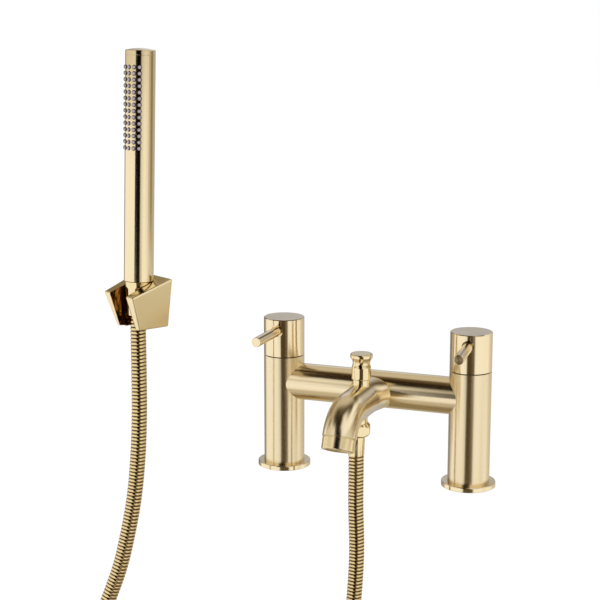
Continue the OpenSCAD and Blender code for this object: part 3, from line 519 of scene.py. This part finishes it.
# Pressed in a mould: black and matt
nitrile = grained(
    "black_nitrile_rubber", ("#141414", "#1F1E1D"), (0.55, 0.75), 0.4 * MM, 0.01 * MM, ior=1.52)
# Fired and lapped flat: white with a cool gloss
alumina = grained(
    "lapped_alumina", ("#E6E5E0", "#F1F0EC"), (0.15, 0.3), 0.5 * MM, 0.001 * MM, ior=1.77)
# Moulded plastic: white, soft gloss
acetal = grained(
    "white_acetal", ("#DADAD4", "#E8E8E3"), (0.35, 0.5), 0.8 * MM, 0.004 * MM, ior=1.48)
# Moulded silicone: grey and dull inside, glossy on the domes
silicone = grained(
    "grey_silicone", ("#8E8688", "#A39B9D"), (0.45, 0.6), 0.5 * MM, 0.004 * MM, ior=1.41)
# The domes get painted shade at their roots, a dark ring where they come out of the tube
silicone_domes = grained(
    "glossy_grey_silicone", ("#A89C9F", "#BDB1B4"), (0.15, 0.25), 0.5 * MM, 0.002 * MM, ior=1.41,
    root="crest")

# %% Finishes on the solids
PLAIN = {
    "raw_brass": machined_brass, "black_rubber": nitrile, "white_ceramic": alumina,
    "spring_steel": steel_wire, "white_plastic": acetal, "grey_silicone": silicone,
}
OWN = {
    "left_pillar": satin_left, "left_flange": brushed_left, "left_handle": brushed_left,
    "left_lever": left_rod, "right_pillar": satin_right, "right_flange": brushed_right,
    "right_handle": brushed_right, "right_lever": right_rod, "bridge": satin_bridge,
    "spout": satin_spout, "aerator_ring": satin_aerator, "diverter_neck": bright_diverter,
    "diverter_knob": bright_diverter, "outlet_spigot": bright_outlet, "hose_nut": bright_outlet,
    "outlet_ferrule": bright_outlet, "hose": bright_outlet, "wall_bracket": cast_bracket,
    "handset_ferrule": bright_socket, "conical_nut": bright_socket, "handset_tube": brushed_shower,
    "handset_cap": brushed_shower,
}
for subpart in frame["record"]["subparts"]:
    name = subpart["node"]
    node_mesh = frame["nodes"][name].data
    node_mesh.materials.clear()
    node_mesh.materials.append(OWN.get(name) or PLAIN[subpart["material_slot"]])
print("finishes set on", len(frame["nodes"]), "nodes")

# %% [markdown]
# ## The hose
# A double-interlock metal hose is a strip wound into a helix, so its ribs are one screw thread, about
# 3.3 mm from rib to rib. It leaves the ferrule under the spout, hangs in a long loop and comes up to the
# hand shower. The tube is a profile carried along a smooth curve through listed points, and the
# thread comes from a formula for the radius.

# %% Route of the hose
hose_diameter = 14 * MM
hose_bore = 8.6 * MM
rib_pitch = 3.25 * MM
rib_depth = 1.3 * MM
rib_power = 0.35
hose_points = np.array([
    [0, -52.5, 33.9], [0, -52.5, 17.9],
    [0, -52.5, -15], [1, -52, -55], [0, -53, -90], [-3, -54, -130], [-7, -55, -178], [-11, -57, -228],
    [-16, -59, -278], [-24, -62, -326], [-38, -67, -371], [-60, -75, -411], [-89, -85, -441],
    [-123, -98, -455], [-158, -110, -450], [-190, -121, -428], [-215, -130, -391], [-232, -136, -346],
    [-241, -140, -298], [-243, -140.5, -249], [-239, -139, -200], [-228, -135, -153], [-214, -131, -111],
    [-202, -127, -76], [-194, -124, -42], [-188, -121, -6], [-184, -120, 32], [-182, -119.5, 70],
    [-181.5, -119.3, 106], [-181.29, -119.45, 145.03], [-181.02, -118.96, 161.02],
]) * MM
print("hose route of", len(hose_points), "points")

# %% Tube along a path
def smooth_path(points, steps):
    """Curve through points: on each span a cubic with (next - previous) / 2 as slope at both ends."""
    padded = np.concatenate([points[:1], points, points[-1:]])
    a, b, c, d = (padded[k:len(padded) - 3 + k, None] for k in range(4))
    u = (np.arange(steps) / steps)[None, :, None]
    curve = 0.5 * (
        2 * b + (c - a) * u + (2 * a - 5 * b + 4 * c - d) * u ** 2 + (3 * b - a - 3 * c + d) * u ** 3)
    return np.concatenate([curve.reshape(-1, 3), points[-1:]])


def along_path(path, stations):
    """Points and unit tangents of a path at distances along it, in straight steps between its points."""
    distance = np.concatenate([[0.0], np.cumsum(np.linalg.norm(np.diff(path, axis=0), axis=1))])
    slope = np.gradient(path, distance, axis=0)
    places = np.stack([np.interp(stations, distance, path[:, k]) for k in range(3)], axis=1)
    tangents = np.stack([np.interp(stations, distance, slope[:, k]) for k in range(3)], axis=1)
    return places, tangents / np.linalg.norm(tangents, axis=1, keepdims=True)


def swept(places, tangents, side, radius):
    """Tube round a path: P(i, j) = place_i + radius_ij * (cos a_j * across_i + sin a_j * up_i)."""
    up = np.cross(tangents, side)
    up /= np.linalg.norm(up, axis=1, keepdims=True)
    across = np.cross(up, tangents)
    angle = np.arange(radius.shape[1]) / radius.shape[1] * 2 * math.pi
    spoke = np.cos(angle)[None, :, None] * across[:, None] + np.sin(angle)[None, :, None] * up[:, None]
    return places[:, None] + radius[:, :, None] * spoke


# %% Hose
def hose_mesh(spokes=24, rings_per_rib=9, bore_rings=160):
    """Hose wall: radius = outside - depth * (1 - crest), crest = |sin(pi * turns)| ^ rib power and
    turns = s / pitch - angle / 2 pi, and back along the bore, so that the two skins close into one wall."""
    path = smooth_path(hose_points, steps=24)
    total = np.linalg.norm(np.diff(path, axis=0), axis=1).sum()
    side = np.cross(hose_points[-1] - hose_points[0], [0, 0, 1])
    side /= np.linalg.norm(side)
    stations = np.linspace(0, total, int(total / rib_pitch * rings_per_rib))
    turns = stations[:, None] / rib_pitch - np.arange(spokes)[None, :] / spokes
    crest = np.abs(np.sin(math.pi * turns)) ** rib_power
    outside = swept(*along_path(path, stations), side, hose_diameter / 2 - rib_depth * (1 - crest))
    back = np.linspace(total, 0, bore_rings)
    inside = swept(*along_path(path, back), side, np.full((bore_rings, spokes), hose_bore / 2))
    print("hose:", round(total, 4), "m along its middle,", int(total / rib_pitch), "ribs")
    mesh = grid_mesh("hose_ribs", np.concatenate([outside, inside]), wrap_rows=True)
    # crest is 1 on a rib and low in a groove, where the hose's material paints shade
    depth = np.concatenate([crest, np.ones((bore_rings, spokes))]).astype(np.float32)
    mesh.attributes.new("crest", "FLOAT", "POINT").data.foreach_set("value", depth.ravel())
    return mesh, path


hose_surface, hose_path = hose_mesh()
hose = add_piece("hose_ribs", hose_surface, bright_hose, None, ["hose"])
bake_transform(hose)

# %% [markdown]
# ## Turned pieces
# Levers, flanges, knob, aerator ring and end cap are all turned on a lathe: a profile goes round an
# axis. The solids end in plain chamfers, and here each edge gets a small arc, because a thin bright
# line along an edge is what makes metal look machined. Points close to each arc keep the flats flat.

# %% Profiles
def rounded(corners, steps=5, hold=0.1 * MM):
    """Profile through corners of (radius, height, rounding) in mm, each corner turned into an arc.

    The arc touches both edges at rounding / tan(half angle) from the corner, and its middle lies at
    rounding / sin(half angle) along the line that halves the angle."""
    corners = np.array(corners, dtype=float) * MM
    places = corners[:, :2]
    u = np.linspace(0, 1, steps + 1)[:, None]
    pieces = [places[:1]]
    for before, corner, after, radius in zip(places[:-2], places[1:-1], places[2:], corners[1:-1, 2]):
        back = (before - corner) / np.linalg.norm(before - corner)
        ahead = (after - corner) / np.linalg.norm(after - corner)
        half = math.acos(np.clip(back @ ahead, -1, 1)) / 2
        sweep = math.pi - 2 * half
        reach = radius / math.tan(half)
        middle = corner + (back + ahead) / np.linalg.norm(back + ahead) * radius / math.sin(half)
        first = corner + back * reach - middle
        last = corner + ahead * reach - middle
        arc = middle + (np.sin((1 - u) * sweep) * first + np.sin(u * sweep) * last) / math.sin(sweep)
        held = [[corner + back * (reach + hold)], arc, [corner + ahead * (reach + hold)]]
        pieces.append(np.concatenate(held))
    pieces.append(places[-1:])
    return np.concatenate(pieces)


def turned(profile, centre, axis, columns=96):
    """Points of a profile turned about an axis: centre + z_i axis + r_i (cos a_j e + sin a_j f)."""
    axis = np.array(axis, dtype=float) / np.linalg.norm(axis)
    helper = np.array([1.0, 0.0, 0.0]) if abs(axis[0]) < 0.9 else np.array([0.0, 1.0, 0.0])
    e = np.cross(helper, axis)
    e /= np.linalg.norm(e)
    f = np.cross(axis, e)
    angle = np.arange(columns) / columns * 2 * math.pi
    spoke = np.cos(angle)[:, None] * e + np.sin(angle)[:, None] * f
    return np.array(centre) + profile[:, 1, None, None] * axis + profile[:, 0, None, None] * spoke


# %% Levers and flanges
pillar_x = 90 * MM
lever_height = 132.7 * MM
lever_r, lever_root, lever_end = 4.5, 8, 68
lever_profile = rounded([
    (0, lever_root, 0), (lever_r, lever_root, 0.3), (lever_r, lever_end, 0.6), (0, lever_end, 0)])

# The groove under a flange holds its seal
flange_bore_r, flange_r, flange_h = 19.05, 24.7, 4.6
groove_in_r, groove_out_r, groove_h = 20.35, 23.35, 1.6
flange_profile = rounded([
    (flange_bore_r, 2, 0), (flange_bore_r, 0, 0.1), (groove_in_r, 0, 0.1), (groove_in_r, groove_h, 0.1),
    (groove_out_r, groove_h, 0.1), (groove_out_r, 0, 0.1), (flange_r, 0, 0.3), (flange_r, flange_h, 0.9),
    (flange_bore_r, flange_h, 0.15), (flange_bore_r, 3, 0)])

for side, x, turn, rod_finish, finish in (
        ("left", -pillar_x, 0.0, left_rod, brushed_left),
        ("right", pillar_x, right_turn, right_rod, brushed_right)):
    ahead = (math.sin(turn), -math.cos(turn), 0)
    lever = turned(lever_profile, (x, 0, lever_height), ahead, columns=64)
    add_piece(f"{side}_lever_rod", grid_mesh(f"{side}_lever_rod", lever), rod_finish, f"{side}_tap",
              [f"{side}_lever"])
    ring = turned(flange_profile, (x, 0, 0), (0, 0, 1), columns=128)
    add_piece(f"{side}_flange_ring", grid_mesh(f"{side}_flange_ring", ring, wrap_rows=True), finish,
              "body", [f"{side}_flange"])

# %% [markdown]
# ## Diverter knob
# The knob has a straight barrel, a waist for the fingers and a wider head. The waist is a sine dip
# under the straight line from barrel to head. It would be turned in one go with a form tool.

# %% Knob
diverter_y = -40 * MM
knob_foot = 100.9
knob_top = knob_foot + 23.4
bore_top = knob_foot + 11.05
waist_foot, waist_h = knob_foot + 11, 9
barrel_r, waist_r, head_r, stem_r = 8.7, 7.9, 10.1, 2.05


def knob_profile(steps=20):
    """Barrel, waist and head: radius = line from barrel to head - dip * sin(pi u) over the waist."""
    u = np.linspace(0, 1, steps + 1)
    dip = (barrel_r + head_r) / 2 - waist_r
    waist = np.stack([barrel_r + (head_r - barrel_r) * u - dip * np.sin(math.pi * u),
                      waist_foot + waist_h * u], axis=1) * MM
    lower = rounded([(0, bore_top, 0), (stem_r, bore_top, 0.1), (stem_r, knob_foot, 0.1),
                     (barrel_r, knob_foot, 0.6), (barrel_r, waist_foot - 0.2, 0)])
    upper = rounded([(head_r, waist_foot + waist_h + 0.2, 0), (head_r, knob_top, 1.3), (0, knob_top, 0)])
    return np.concatenate([lower, waist, upper])


knob = turned(knob_profile(), (0, diverter_y, 0), (0, 0, 1))
add_piece("diverter_knob_turned", grid_mesh("diverter_knob_turned", knob), bright_diverter, "diverter",
          ["diverter_knob"])

# %% [markdown]
# ## Return spring
# A steel spring in the neck pushes the diverter down again. It is one wire wound along a helix. Pulling
# the knob squeezes it by 8 mm. Here it is a piece of its own on the mixer's body, with an even rise.

# %% Spring
spring_foot, spring_head = (corner[2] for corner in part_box("diverter_spring"))
wire_r = 0.4 * MM
coil_r = 3.3 * MM


def spring_points(turns=6, steps=24, spokes=12):
    """Wire along a helix: middle = (R cos a, R sin a, foot + rise * a), closed by a point at each end."""
    a = np.linspace(0, 2 * math.pi * turns, turns * steps + 1)
    height = np.linspace(spring_foot + wire_r, spring_head - wire_r, len(a))
    rise = (height[-1] - height[0]) / a[-1]
    places = np.stack([coil_r * np.cos(a), diverter_y + coil_r * np.sin(a), height], axis=1)
    tangents = np.stack([-coil_r * np.sin(a), coil_r * np.cos(a), np.full(len(a), rise)], axis=1)
    tangents /= np.linalg.norm(tangents, axis=1, keepdims=True)
    ends = np.concatenate([[0], np.arange(len(a)), [len(a) - 1]])
    radius = np.full((len(ends), spokes), wire_r)
    radius[[0, -1]] = 0
    return swept(places[ends], tangents[ends], np.array([0.0, 0.0, 1.0]), radius)


spring = add_piece("diverter_spring_coil", grid_mesh("diverter_spring_coil", spring_points()), steel_wire,
                   "body", ["diverter_spring"])
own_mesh(spring)

# %% [markdown]
# ## Spout root and aerator ring
# The casting of the spout widens sideways where it runs into the bridge. The flare is a sleeve whose
# half width grows with the square of the distance from where it starts, and whose inner skin lies
# inside the wall of the spout. The aerator ring tapers a little and has a groove under the spout.

# %% Spout root
bridge_z = 82.3 * MM
bridge_r = 17.1 * MM
flare_r, flare_inner_r = 15.2 * MM, 13.5 * MM
flare_sunk = 0.3 * MM
flare_widest = 1.3
flare_start = 37 * MM
flare_length = 18 * MM
flare_rise = 4.4 * MM


def flare_points(rows=20, columns=96):
    """Sleeve round the spout: half width = r + rise * (run / length) ^ 2, run counted from the start.

    Each column ends sunk a little into the bridge, whose face lies sqrt(R ^ 2 - (z - bridge z) ^ 2) ahead
    of its axis. Past 1.3 lengths the sleeve grows no wider."""
    angle = np.arange(columns) / columns * 2 * math.pi

    def skin(radius, rise, weight):
        height = spout_z + radius * np.sin(angle)
        root = np.sqrt(np.maximum(bridge_r ** 2 - (height - bridge_z) ** 2, 0)) - flare_sunk
        ahead = flare_start + (root - flare_start) * weight[:, None]
        wide = radius + rise * np.minimum((flare_start - ahead) / flare_length, flare_widest) ** 2
        return np.stack(np.broadcast_arrays(wide * np.cos(angle), -ahead, height), axis=-1)

    weight = np.linspace(0, 1, rows)
    return np.concatenate([skin(flare_r, flare_rise, weight), skin(flare_inner_r, 0.0, weight[::-1])])


add_piece("spout_root_flare", grid_mesh("spout_root_flare", flare_points(), wrap_rows=True), satin_spout,
          "body")

# %% Aerator ring
spout_turn = math.radians(66)
spout_out = (0, -math.cos(spout_turn), -math.sin(spout_turn))
spout_end = np.array(spout_bend_centre) + bend_r * np.array([0, -math.sin(spout_turn), math.cos(spout_turn)])
# Thread in the spout, groove under the spout's edge, tapered skirt, lip and the shoulder of the insert
aerator_profile = rounded([
    (11.25, 0, 0), (11.25, -5.95, 0.1), (12.87, -5.95, 0.1), (12.87, 0.05, 0.1), (13.6, 0.05, 0.1),
    (13.6, 0.9, 0.1), (14.65, 0.9, 0.3), (14.4, 11.5, 0.8), (12, 11.5, 0.5), (10.25, 10.1, 0.2),
    (10.25, 9.5, 0.1), (11.25, 9.5, 0.1), (11.25, 1, 0)])
ring = turned(aerator_profile, spout_end, spout_out, columns=128)
add_piece("aerator_ring_turned", grid_mesh("aerator_ring_turned", ring, wrap_rows=True), satin_aerator,
          "body", ["aerator_ring"])

# %% [markdown]
# ## Hand shower cap and nozzles
# The cap is pressed into the tube and crowned, with a fine seam under it. The nozzles are soft domes
# moulded on one silicone sleeve, so that lime can be rubbed off them. One profile is turned about each
# of the seventy outward directions, and all domes and the sleeve become one mesh.

# %% Cap
socket_place = np.array([socket_x, socket_y, 192.3 * MM])
shower_axis = np.array([
    -math.sin(bracket_turn) * math.sin(lean), math.cos(bracket_turn) * math.sin(lean), math.cos(lean)])
handset_r = 13.0
handset_len = 200.9
tube_len = 195.1
bore_r = 11.45
plug_foot = tube_len - 5
rim_foot = tube_len + 0.05
rim_top = handset_len - 1.75
crown_r, crown_h = 12.6, 1.6


def cap_profile(steps=12):
    """Plug, rim and crown: height of the crown = top - crown height * (r / crown radius) ^ 2."""
    r = np.linspace(12.0, 0, steps + 1)
    crown = np.stack([r, handset_len - crown_h * (r / crown_r) ** 2], axis=1) * MM
    rim = rounded([(0, plug_foot, 0), (bore_r, plug_foot, 0.2), (bore_r, rim_foot, 0.1),
                   (handset_r, rim_foot, 0.35), (handset_r, rim_top, 0.5), (12.3, handset_len - 1.53, 0)])
    return np.concatenate([rim, crown])


cap = turned(cap_profile(), socket_place, shower_axis, columns=128)
add_piece("handset_cap_crowned", grid_mesh("handset_cap_crowned", cap), brushed_shower, "hand_shower",
          ["handset_cap"])

# %% Nozzle shapes
nozzle_rows = 14
nozzle_pitch = 5.3
nozzle_top = 16
nozzle_columns = 9 + 22 * np.arange(-2, 3)
nozzle_r, nozzle_root, shank_top, tip_h, nozzle_proud = 1.7, 10.9, 13.15, 1.25, 1.4


def nozzle_frames():
    """Places on the axis and outward directions of the nozzles: front cos t + across sin t, t by column."""
    across = np.array([math.cos(bracket_turn), math.sin(bracket_turn), 0])
    front = np.cross(across, shower_axis)
    turn = np.radians(nozzle_columns)
    outward = np.cos(turn)[:, None] * front + np.sin(turn)[:, None] * across
    height = (handset_len - nozzle_top - nozzle_pitch * np.arange(nozzle_rows)) * MM
    places = socket_place + height[:, None, None] * shower_axis + 0 * outward[None]
    return places.reshape(-1, 3), np.tile(outward, (nozzle_rows, 1))


def dome_profile(steps=8):
    """Straight shank and round tip: r = nozzle radius * cos b, height = shank top + tip height * sin b."""
    b = np.linspace(0, math.pi / 2, steps + 1)
    tip = np.stack([nozzle_r * np.cos(b), shank_top + tip_h * np.sin(b)], axis=1)
    return np.concatenate([[[0, nozzle_root], [nozzle_r, nozzle_root]], tip]) * MM


def joined(name, grids):
    """One mesh of several grids of (points, wrap_rows): their arrays are put end to end, and the point
    numbers of each grid grow by the number of points before it."""
    flat, quads, keep, uv = zip(*(grid_corners(*grid) for grid in grids))
    first = np.cumsum([0] + [len(points) for points in flat[:-1]])
    quads = [corners + start for corners, start in zip(quads, first)]
    return mesh_from_corners(name, *(np.concatenate(arrays) for arrays in (flat, quads, keep, uv)))


# %% Nozzles
sleeve_r, sleeve_top = 10.3, 189.1
sleeve_foot = handset_len - nozzle_top - (nozzle_rows - 1) * nozzle_pitch - 4
sleeve_profile = rounded([(sleeve_r, sleeve_foot + 5, 0), (sleeve_r, sleeve_foot, 0.1),
                          (bore_r, sleeve_foot, 0.1), (bore_r, sleeve_top, 0.1),
                          (sleeve_r, sleeve_top, 0.1), (sleeve_r, 180, 0)])
sleeve = turned(sleeve_profile, socket_place, shower_axis)
domes = [turned(dome_profile(), place, outward, columns=24) for place, outward in zip(*nozzle_frames())]
nozzle_mesh = joined("spray_domes", [(sleeve, True)] + [(dome, False) for dome in domes])

# How far a point stands out of the tube, as a share of the whole dome, tells the material where the root is,
# which it darkens with painted shade
places = np.empty(len(nozzle_mesh.vertices) * 3)
nozzle_mesh.vertices.foreach_get("co", places)
arm = np.cross(places.reshape(-1, 3) - socket_place, shower_axis)
proud = (np.linalg.norm(arm, axis=1) / MM - handset_r) / nozzle_proud
nozzle_mesh.attributes.new("crest", "FLOAT", "POINT").data.foreach_set("value", proud.astype(np.float32))
add_piece("spray_domes", nozzle_mesh, silicone_domes, "hand_shower", ["spray_nozzles"])

# %% [markdown]
# ## Studio
# Metal has no colour of its own apart from what it mirrors, so the studio is part of its look. The
# floor is plain white, and floor and shadows are lit by an even white world. What the metal mirrors is
# a room of large cards, which reflections alone can see.

# %% Floor and world
floor_level = -0.47
floor_size = 30.0
floor_top_up = 0.16

world = bpy.data.worlds.new("white_studio")
world.use_nodes = True
scene.world = world
world.node_tree.nodes["Background"].inputs["Color"].default_value = (1, 1, 1, 1)
world.node_tree.nodes["Background"].inputs["Strength"].default_value = 1.0
scene.view_settings.view_transform = "Standard"


def floor_material():
    """Matt white paint, topped up to white where it is seen directly or mirrored, shadows kept."""
    material, tree, shader = new_material("matt_white_floor_paint")
    shader.inputs["Base Color"].default_value = linear("#EFEFEF")
    shader.inputs["Roughness"].default_value = 0.9
    ray = add_node(tree, "ShaderNodeLightPath")
    seen = add_node(
        tree, "ShaderNodeMath", operation="MAXIMUM",
        links={0: ray.outputs["Is Camera Ray"], 1: ray.outputs["Is Glossy Ray"]})
    seen_too = add_node(
        tree, "ShaderNodeMath", operation="MAXIMUM",
        links={0: seen.outputs["Value"], 1: ray.outputs["Is Transmission Ray"]})
    top_up = add_node(
        tree, "ShaderNodeMath", operation="MULTIPLY", values={1: floor_top_up},
        links={0: seen_too.outputs["Value"]})
    shader.inputs["Emission Color"].default_value = (1, 1, 1, 1)
    tree.links.new(top_up.outputs["Value"], shader.inputs["Emission Strength"])
    return material


def flat_disc(name, radius, level, corners=96):
    """Level disc of one face: corner j lies at (radius cos a_j, radius sin a_j)."""
    angle = np.arange(corners) / corners * 2 * math.pi
    points = np.stack([radius * np.cos(angle), radius * np.sin(angle), np.full(corners, level)], axis=1)
    mesh = bpy.data.meshes.new(name)
    mesh.from_pydata(points.tolist(), [], [list(range(corners))])
    return mesh


floor = add_piece("floor", flat_disc("floor", floor_size / 2, floor_level), floor_material(), None)

# %% [markdown]
# ## The cards
# A round wall, a ceiling and a floor card close the room. White cards stand left and right, a dark gap in
# front goes on up to the ceiling, and the back is a grey cloth. Another dark strip crosses the ceiling at
# the right and the back. Three real cards could be hung like this, but one wall whose tone changes with
# the angle from the camera and with the height is quicker to adjust. The tones were set by comparing
# what each piece of metal mirrors.

# %% Card materials
# The ramp's middle faces the camera: its direction, from +X round to +Y, is azimuth - 90 degrees
wall_turn = -(camera_azimuth - math.pi / 2)


def warm(brightness):
    """Tone of a card: bright ones are white and dark ones turn brown, (t, t ^ 1.16, t ^ 1.5)."""
    return (brightness, brightness ** 1.16, brightness ** 1.5, 1.0)


def cool(brightness):
    """Tone of the grey cloth behind the object, a little blue: (0.98 t, t, 1.1 t)."""
    return (0.98 * brightness, brightness, 1.1 * brightness, 1.0)


def glowing(name):
    """Material with an Emission shader: returns it, its tree, its colour socket and Object coordinates."""
    material = bpy.data.materials.new(name)
    material.use_nodes = True
    tree = material.node_tree
    tree.nodes.clear()
    place = add_node(tree, "ShaderNodeTexCoord").outputs["Object"]
    glow = add_node(tree, "ShaderNodeEmission")
    add_node(tree, "ShaderNodeOutputMaterial", links={"Surface": glow.outputs["Emission"]})
    return material, tree, glow.inputs["Color"], place


def banded_card(name, bands, soft=0.03, level=False):
    """Card with bands of (height, marks), low to high, where marks are (degrees from the camera, colour).

    A band fades into the next over twice the distance soft. On a level card the distance from its middle
    takes the place of the height."""
    material, tree, target, place = glowing(name)
    turned_place = add_node(
        tree, "ShaderNodeMapping", values={"Rotation": (0, 0, wall_turn)}, links={"Vector": place})
    angle = add_node(
        tree, "ShaderNodeTexGradient", gradient_type="RADIAL",
        links={"Vector": turned_place.outputs["Vector"]})
    if level:
        flat = add_node(
            tree, "ShaderNodeVectorMath", operation="MULTIPLY", values={1: (1, 1, 0)}, links={0: place})
        height = add_node(
            tree, "ShaderNodeVectorMath", operation="LENGTH",
            links={0: flat.outputs["Vector"]}).outputs["Value"]
    else:
        height = add_node(tree, "ShaderNodeSeparateXYZ", links={"Vector": place}).outputs["Z"]
    colour = None
    for start, marks in bands:
        stops = [(0.5 + degrees / 360.0, tone) for degrees, tone in marks]
        ramp = add_node(
            tree, "ShaderNodeValToRGB", links={"Fac": angle.outputs["Fac"]}, marks=stops).outputs["Color"]
        if colour is None:
            colour = ramp
            continue
        share = add_node(
            tree, "ShaderNodeMapRange", interpolation_type="SMOOTHSTEP",
            values={"From Min": start - soft, "From Max": start + soft}, links={"Value": height})
        colour = add_node(
            tree, "ShaderNodeMix", data_type="RGBA",
            links={0: share.outputs["Result"], 6: colour, 7: ramp}).outputs[2]
    tree.links.new(colour, target)
    return material


# %% Card wall
card_radius = 1.3
card_top = 0.95
card_foot = floor_level + 0.01


def reflect_only(card):
    """Keeps a card out of the picture, the shadows and the soft light, so that only gloss shows it."""
    card.visible_camera = False
    card.visible_diffuse = False
    card.visible_shadow = False
    card.visible_transmission = False


def card_wall(columns=144):
    """Upright cylinder: P(i, j) = (radius cos a_j, radius sin a_j, z_i)."""
    angle = np.arange(columns) / columns * 2 * math.pi
    ring = np.stack([card_radius * np.cos(angle), card_radius * np.sin(angle), 0 * angle], axis=1)
    heights = np.array([card_foot, card_top])
    points = ring[None] + np.array([0, 0, 1]) * heights[:, None, None]
    return grid_mesh("card_wall", points)


low_marks = [
    (-180, cool(0.5)), (-165, cool(0.35)), (-145, cool(0.2)), (-126, warm(0.45)), (-114, warm(1.0)),
    (-24, warm(1.0)), (-18, warm(0.085)), (17, warm(0.085)), (24, warm(1.0)), (100, warm(1.0)),
    (116, warm(0.74)), (132, warm(0.66)), (150, warm(0.58)), (166, cool(0.5)), (180, cool(0.5)),
]
middle_marks = [
    (-180, cool(0.4)), (-160, cool(0.2)), (-138, cool(0.15)), (-126, warm(0.5)), (-116, warm(1.0)),
    (-36, warm(1.0)), (-31, warm(0)), (3, warm(0)), (9, warm(0.76)), (25, warm(0.92)), (40, warm(1.0)),
    (60, warm(0.88)), (84, warm(0.6)), (104, warm(0.25)), (116, warm(0.28)), (132, warm(0.5)),
    (180, cool(0.5)),
]
high_marks = [
    (-180, cool(0.56)), (-168, cool(0.44)), (-156, cool(0.2)), (-138, cool(0.15)), (-126, warm(0.4)),
    (-116, warm(0.68)), (-36, warm(0.74)), (-31, warm(0)), (3, warm(0)), (9, warm(0.5)),
    (25, warm(0.62)), (60, warm(0.66)), (84, warm(0.42)), (104, warm(0.18)), (114, warm(0.2)),
    (130, cool(0.5)), (170, cool(0.46)), (180, cool(0.56)),
]
top_marks = [
    (-180, cool(0.78)), (-164, cool(0.78)), (-155, warm(0.2)), (-128, warm(0.17)), (-112, warm(0.55)),
    (-61, warm(0.8)), (-40, warm(1.0)), (-33, warm(0.6)), (-25, warm(0)), (8, warm(0)), (15, warm(0.95)),
    (27, warm(1.0)), (120, warm(1.0)), (142, warm(0.7)), (150, warm(0.25)), (154, warm(0.08)),
    (161, warm(0.1)), (172, cool(0.42)), (180, cool(0.78)),
]
wall_bands = [(card_foot, low_marks), (-0.05, middle_marks), (0.32, high_marks), (0.56, top_marks)]
wall = add_piece("card_wall", card_wall(), banded_card("white_cards", wall_bands), None)
reflect_only(wall)

# %% Card ceiling
zenith_marks = [(-180, warm(0.17)), (180, warm(0.17))]
inner_marks = [
    (-180, warm(0.65)), (-140, warm(0.6)), (-120, warm(0.3)), (-105, warm(0.12)), (-10, warm(0.1)),
    (10, warm(0.02)), (95, warm(0.02)), (120, warm(0.3)), (140, warm(0.6)), (180, warm(0.65)),
]
ceiling_marks = [
    (-180, warm(0.62)), (-135, warm(0.6)), (-120, warm(0.4)), (-108, warm(0.2)), (-96, warm(0.03)),
    (-70, warm(0.02)), (-2, warm(0.02)), (8, warm(0.4)), (18, warm(0.95)), (42, warm(0.95)),
    (60, warm(0.4)), (78, warm(0.1)), (98, warm(0.06)), (114, warm(0.06)), (128, warm(0.4)), (145, warm(0.6)),
    (180, warm(0.62)),
]
rim_marks = [
    (-180, warm(0.55)), (-141, warm(0.6)), (-110, warm(0.4)), (-80, warm(0.25)), (-62, warm(0.03)),
    (-30, warm(0)), (-8, warm(0)), (0, warm(0.5)), (8, warm(1.0)), (112, warm(1.0)), (124, warm(0.5)),
    (134, warm(0.05)), (150, warm(0.05)), (160, warm(0.4)), (170, warm(0.55)), (180, warm(0.55)),
]
edge_marks = [
    (-180, warm(0.55)), (-110, warm(0.5)), (-70, warm(0.75)), (-44, warm(0.9)), (-36, warm(0.3)),
    (-28, warm(0)), (4, warm(0)), (14, warm(1.0)), (20, warm(1.0)), (112, warm(1.0)), (124, warm(0.5)),
    (134, warm(0.05)), (150, warm(0.05)), (160, warm(0.4)), (170, warm(0.55)), (180, warm(0.55)),
]
ceiling_bands = [
    (0.0, zenith_marks), (0.12, inner_marks), (0.33, ceiling_marks), (0.75, rim_marks), (1.0, edge_marks)]
ceiling = add_piece(
    "card_ceiling", flat_disc("card_ceiling", card_radius, card_top),
    banded_card("dark_front_ceiling", ceiling_bands, soft=0.06, level=True), None)
reflect_only(ceiling)

# %% Card below
near_marks = [(-180, warm(0.28)), (180, warm(0.28))]
floor_marks = [
    (-180, warm(0.5)), (-90, warm(0.58)), (-24, warm(0.58)), (-18, warm(0.1)), (17, warm(0.1)),
    (24, warm(0.5)), (180, warm(0.5)),
]
far_marks = [
    (-180, cool(0.5)), (-140, cool(0.4)), (-114, warm(0.95)), (-24, warm(0.95)), (-18, warm(0.1)),
    (17, warm(0.1)), (24, warm(0.95)), (56, warm(0.95)), (60, warm(0.6)), (82, warm(0.6)),
    (86, warm(0.95)), (116, warm(0.8)), (140, cool(0.5)), (180, cool(0.5)),
]
below_bands = [(0.0, near_marks), (0.3, floor_marks), (0.75, far_marks)]
below_level = floor_level + 0.005
below = add_piece(
    "card_below", flat_disc("card_below", card_radius, below_level),
    banded_card("shaded_floor_card", below_bands, soft=0.12, level=True), None)
reflect_only(below)
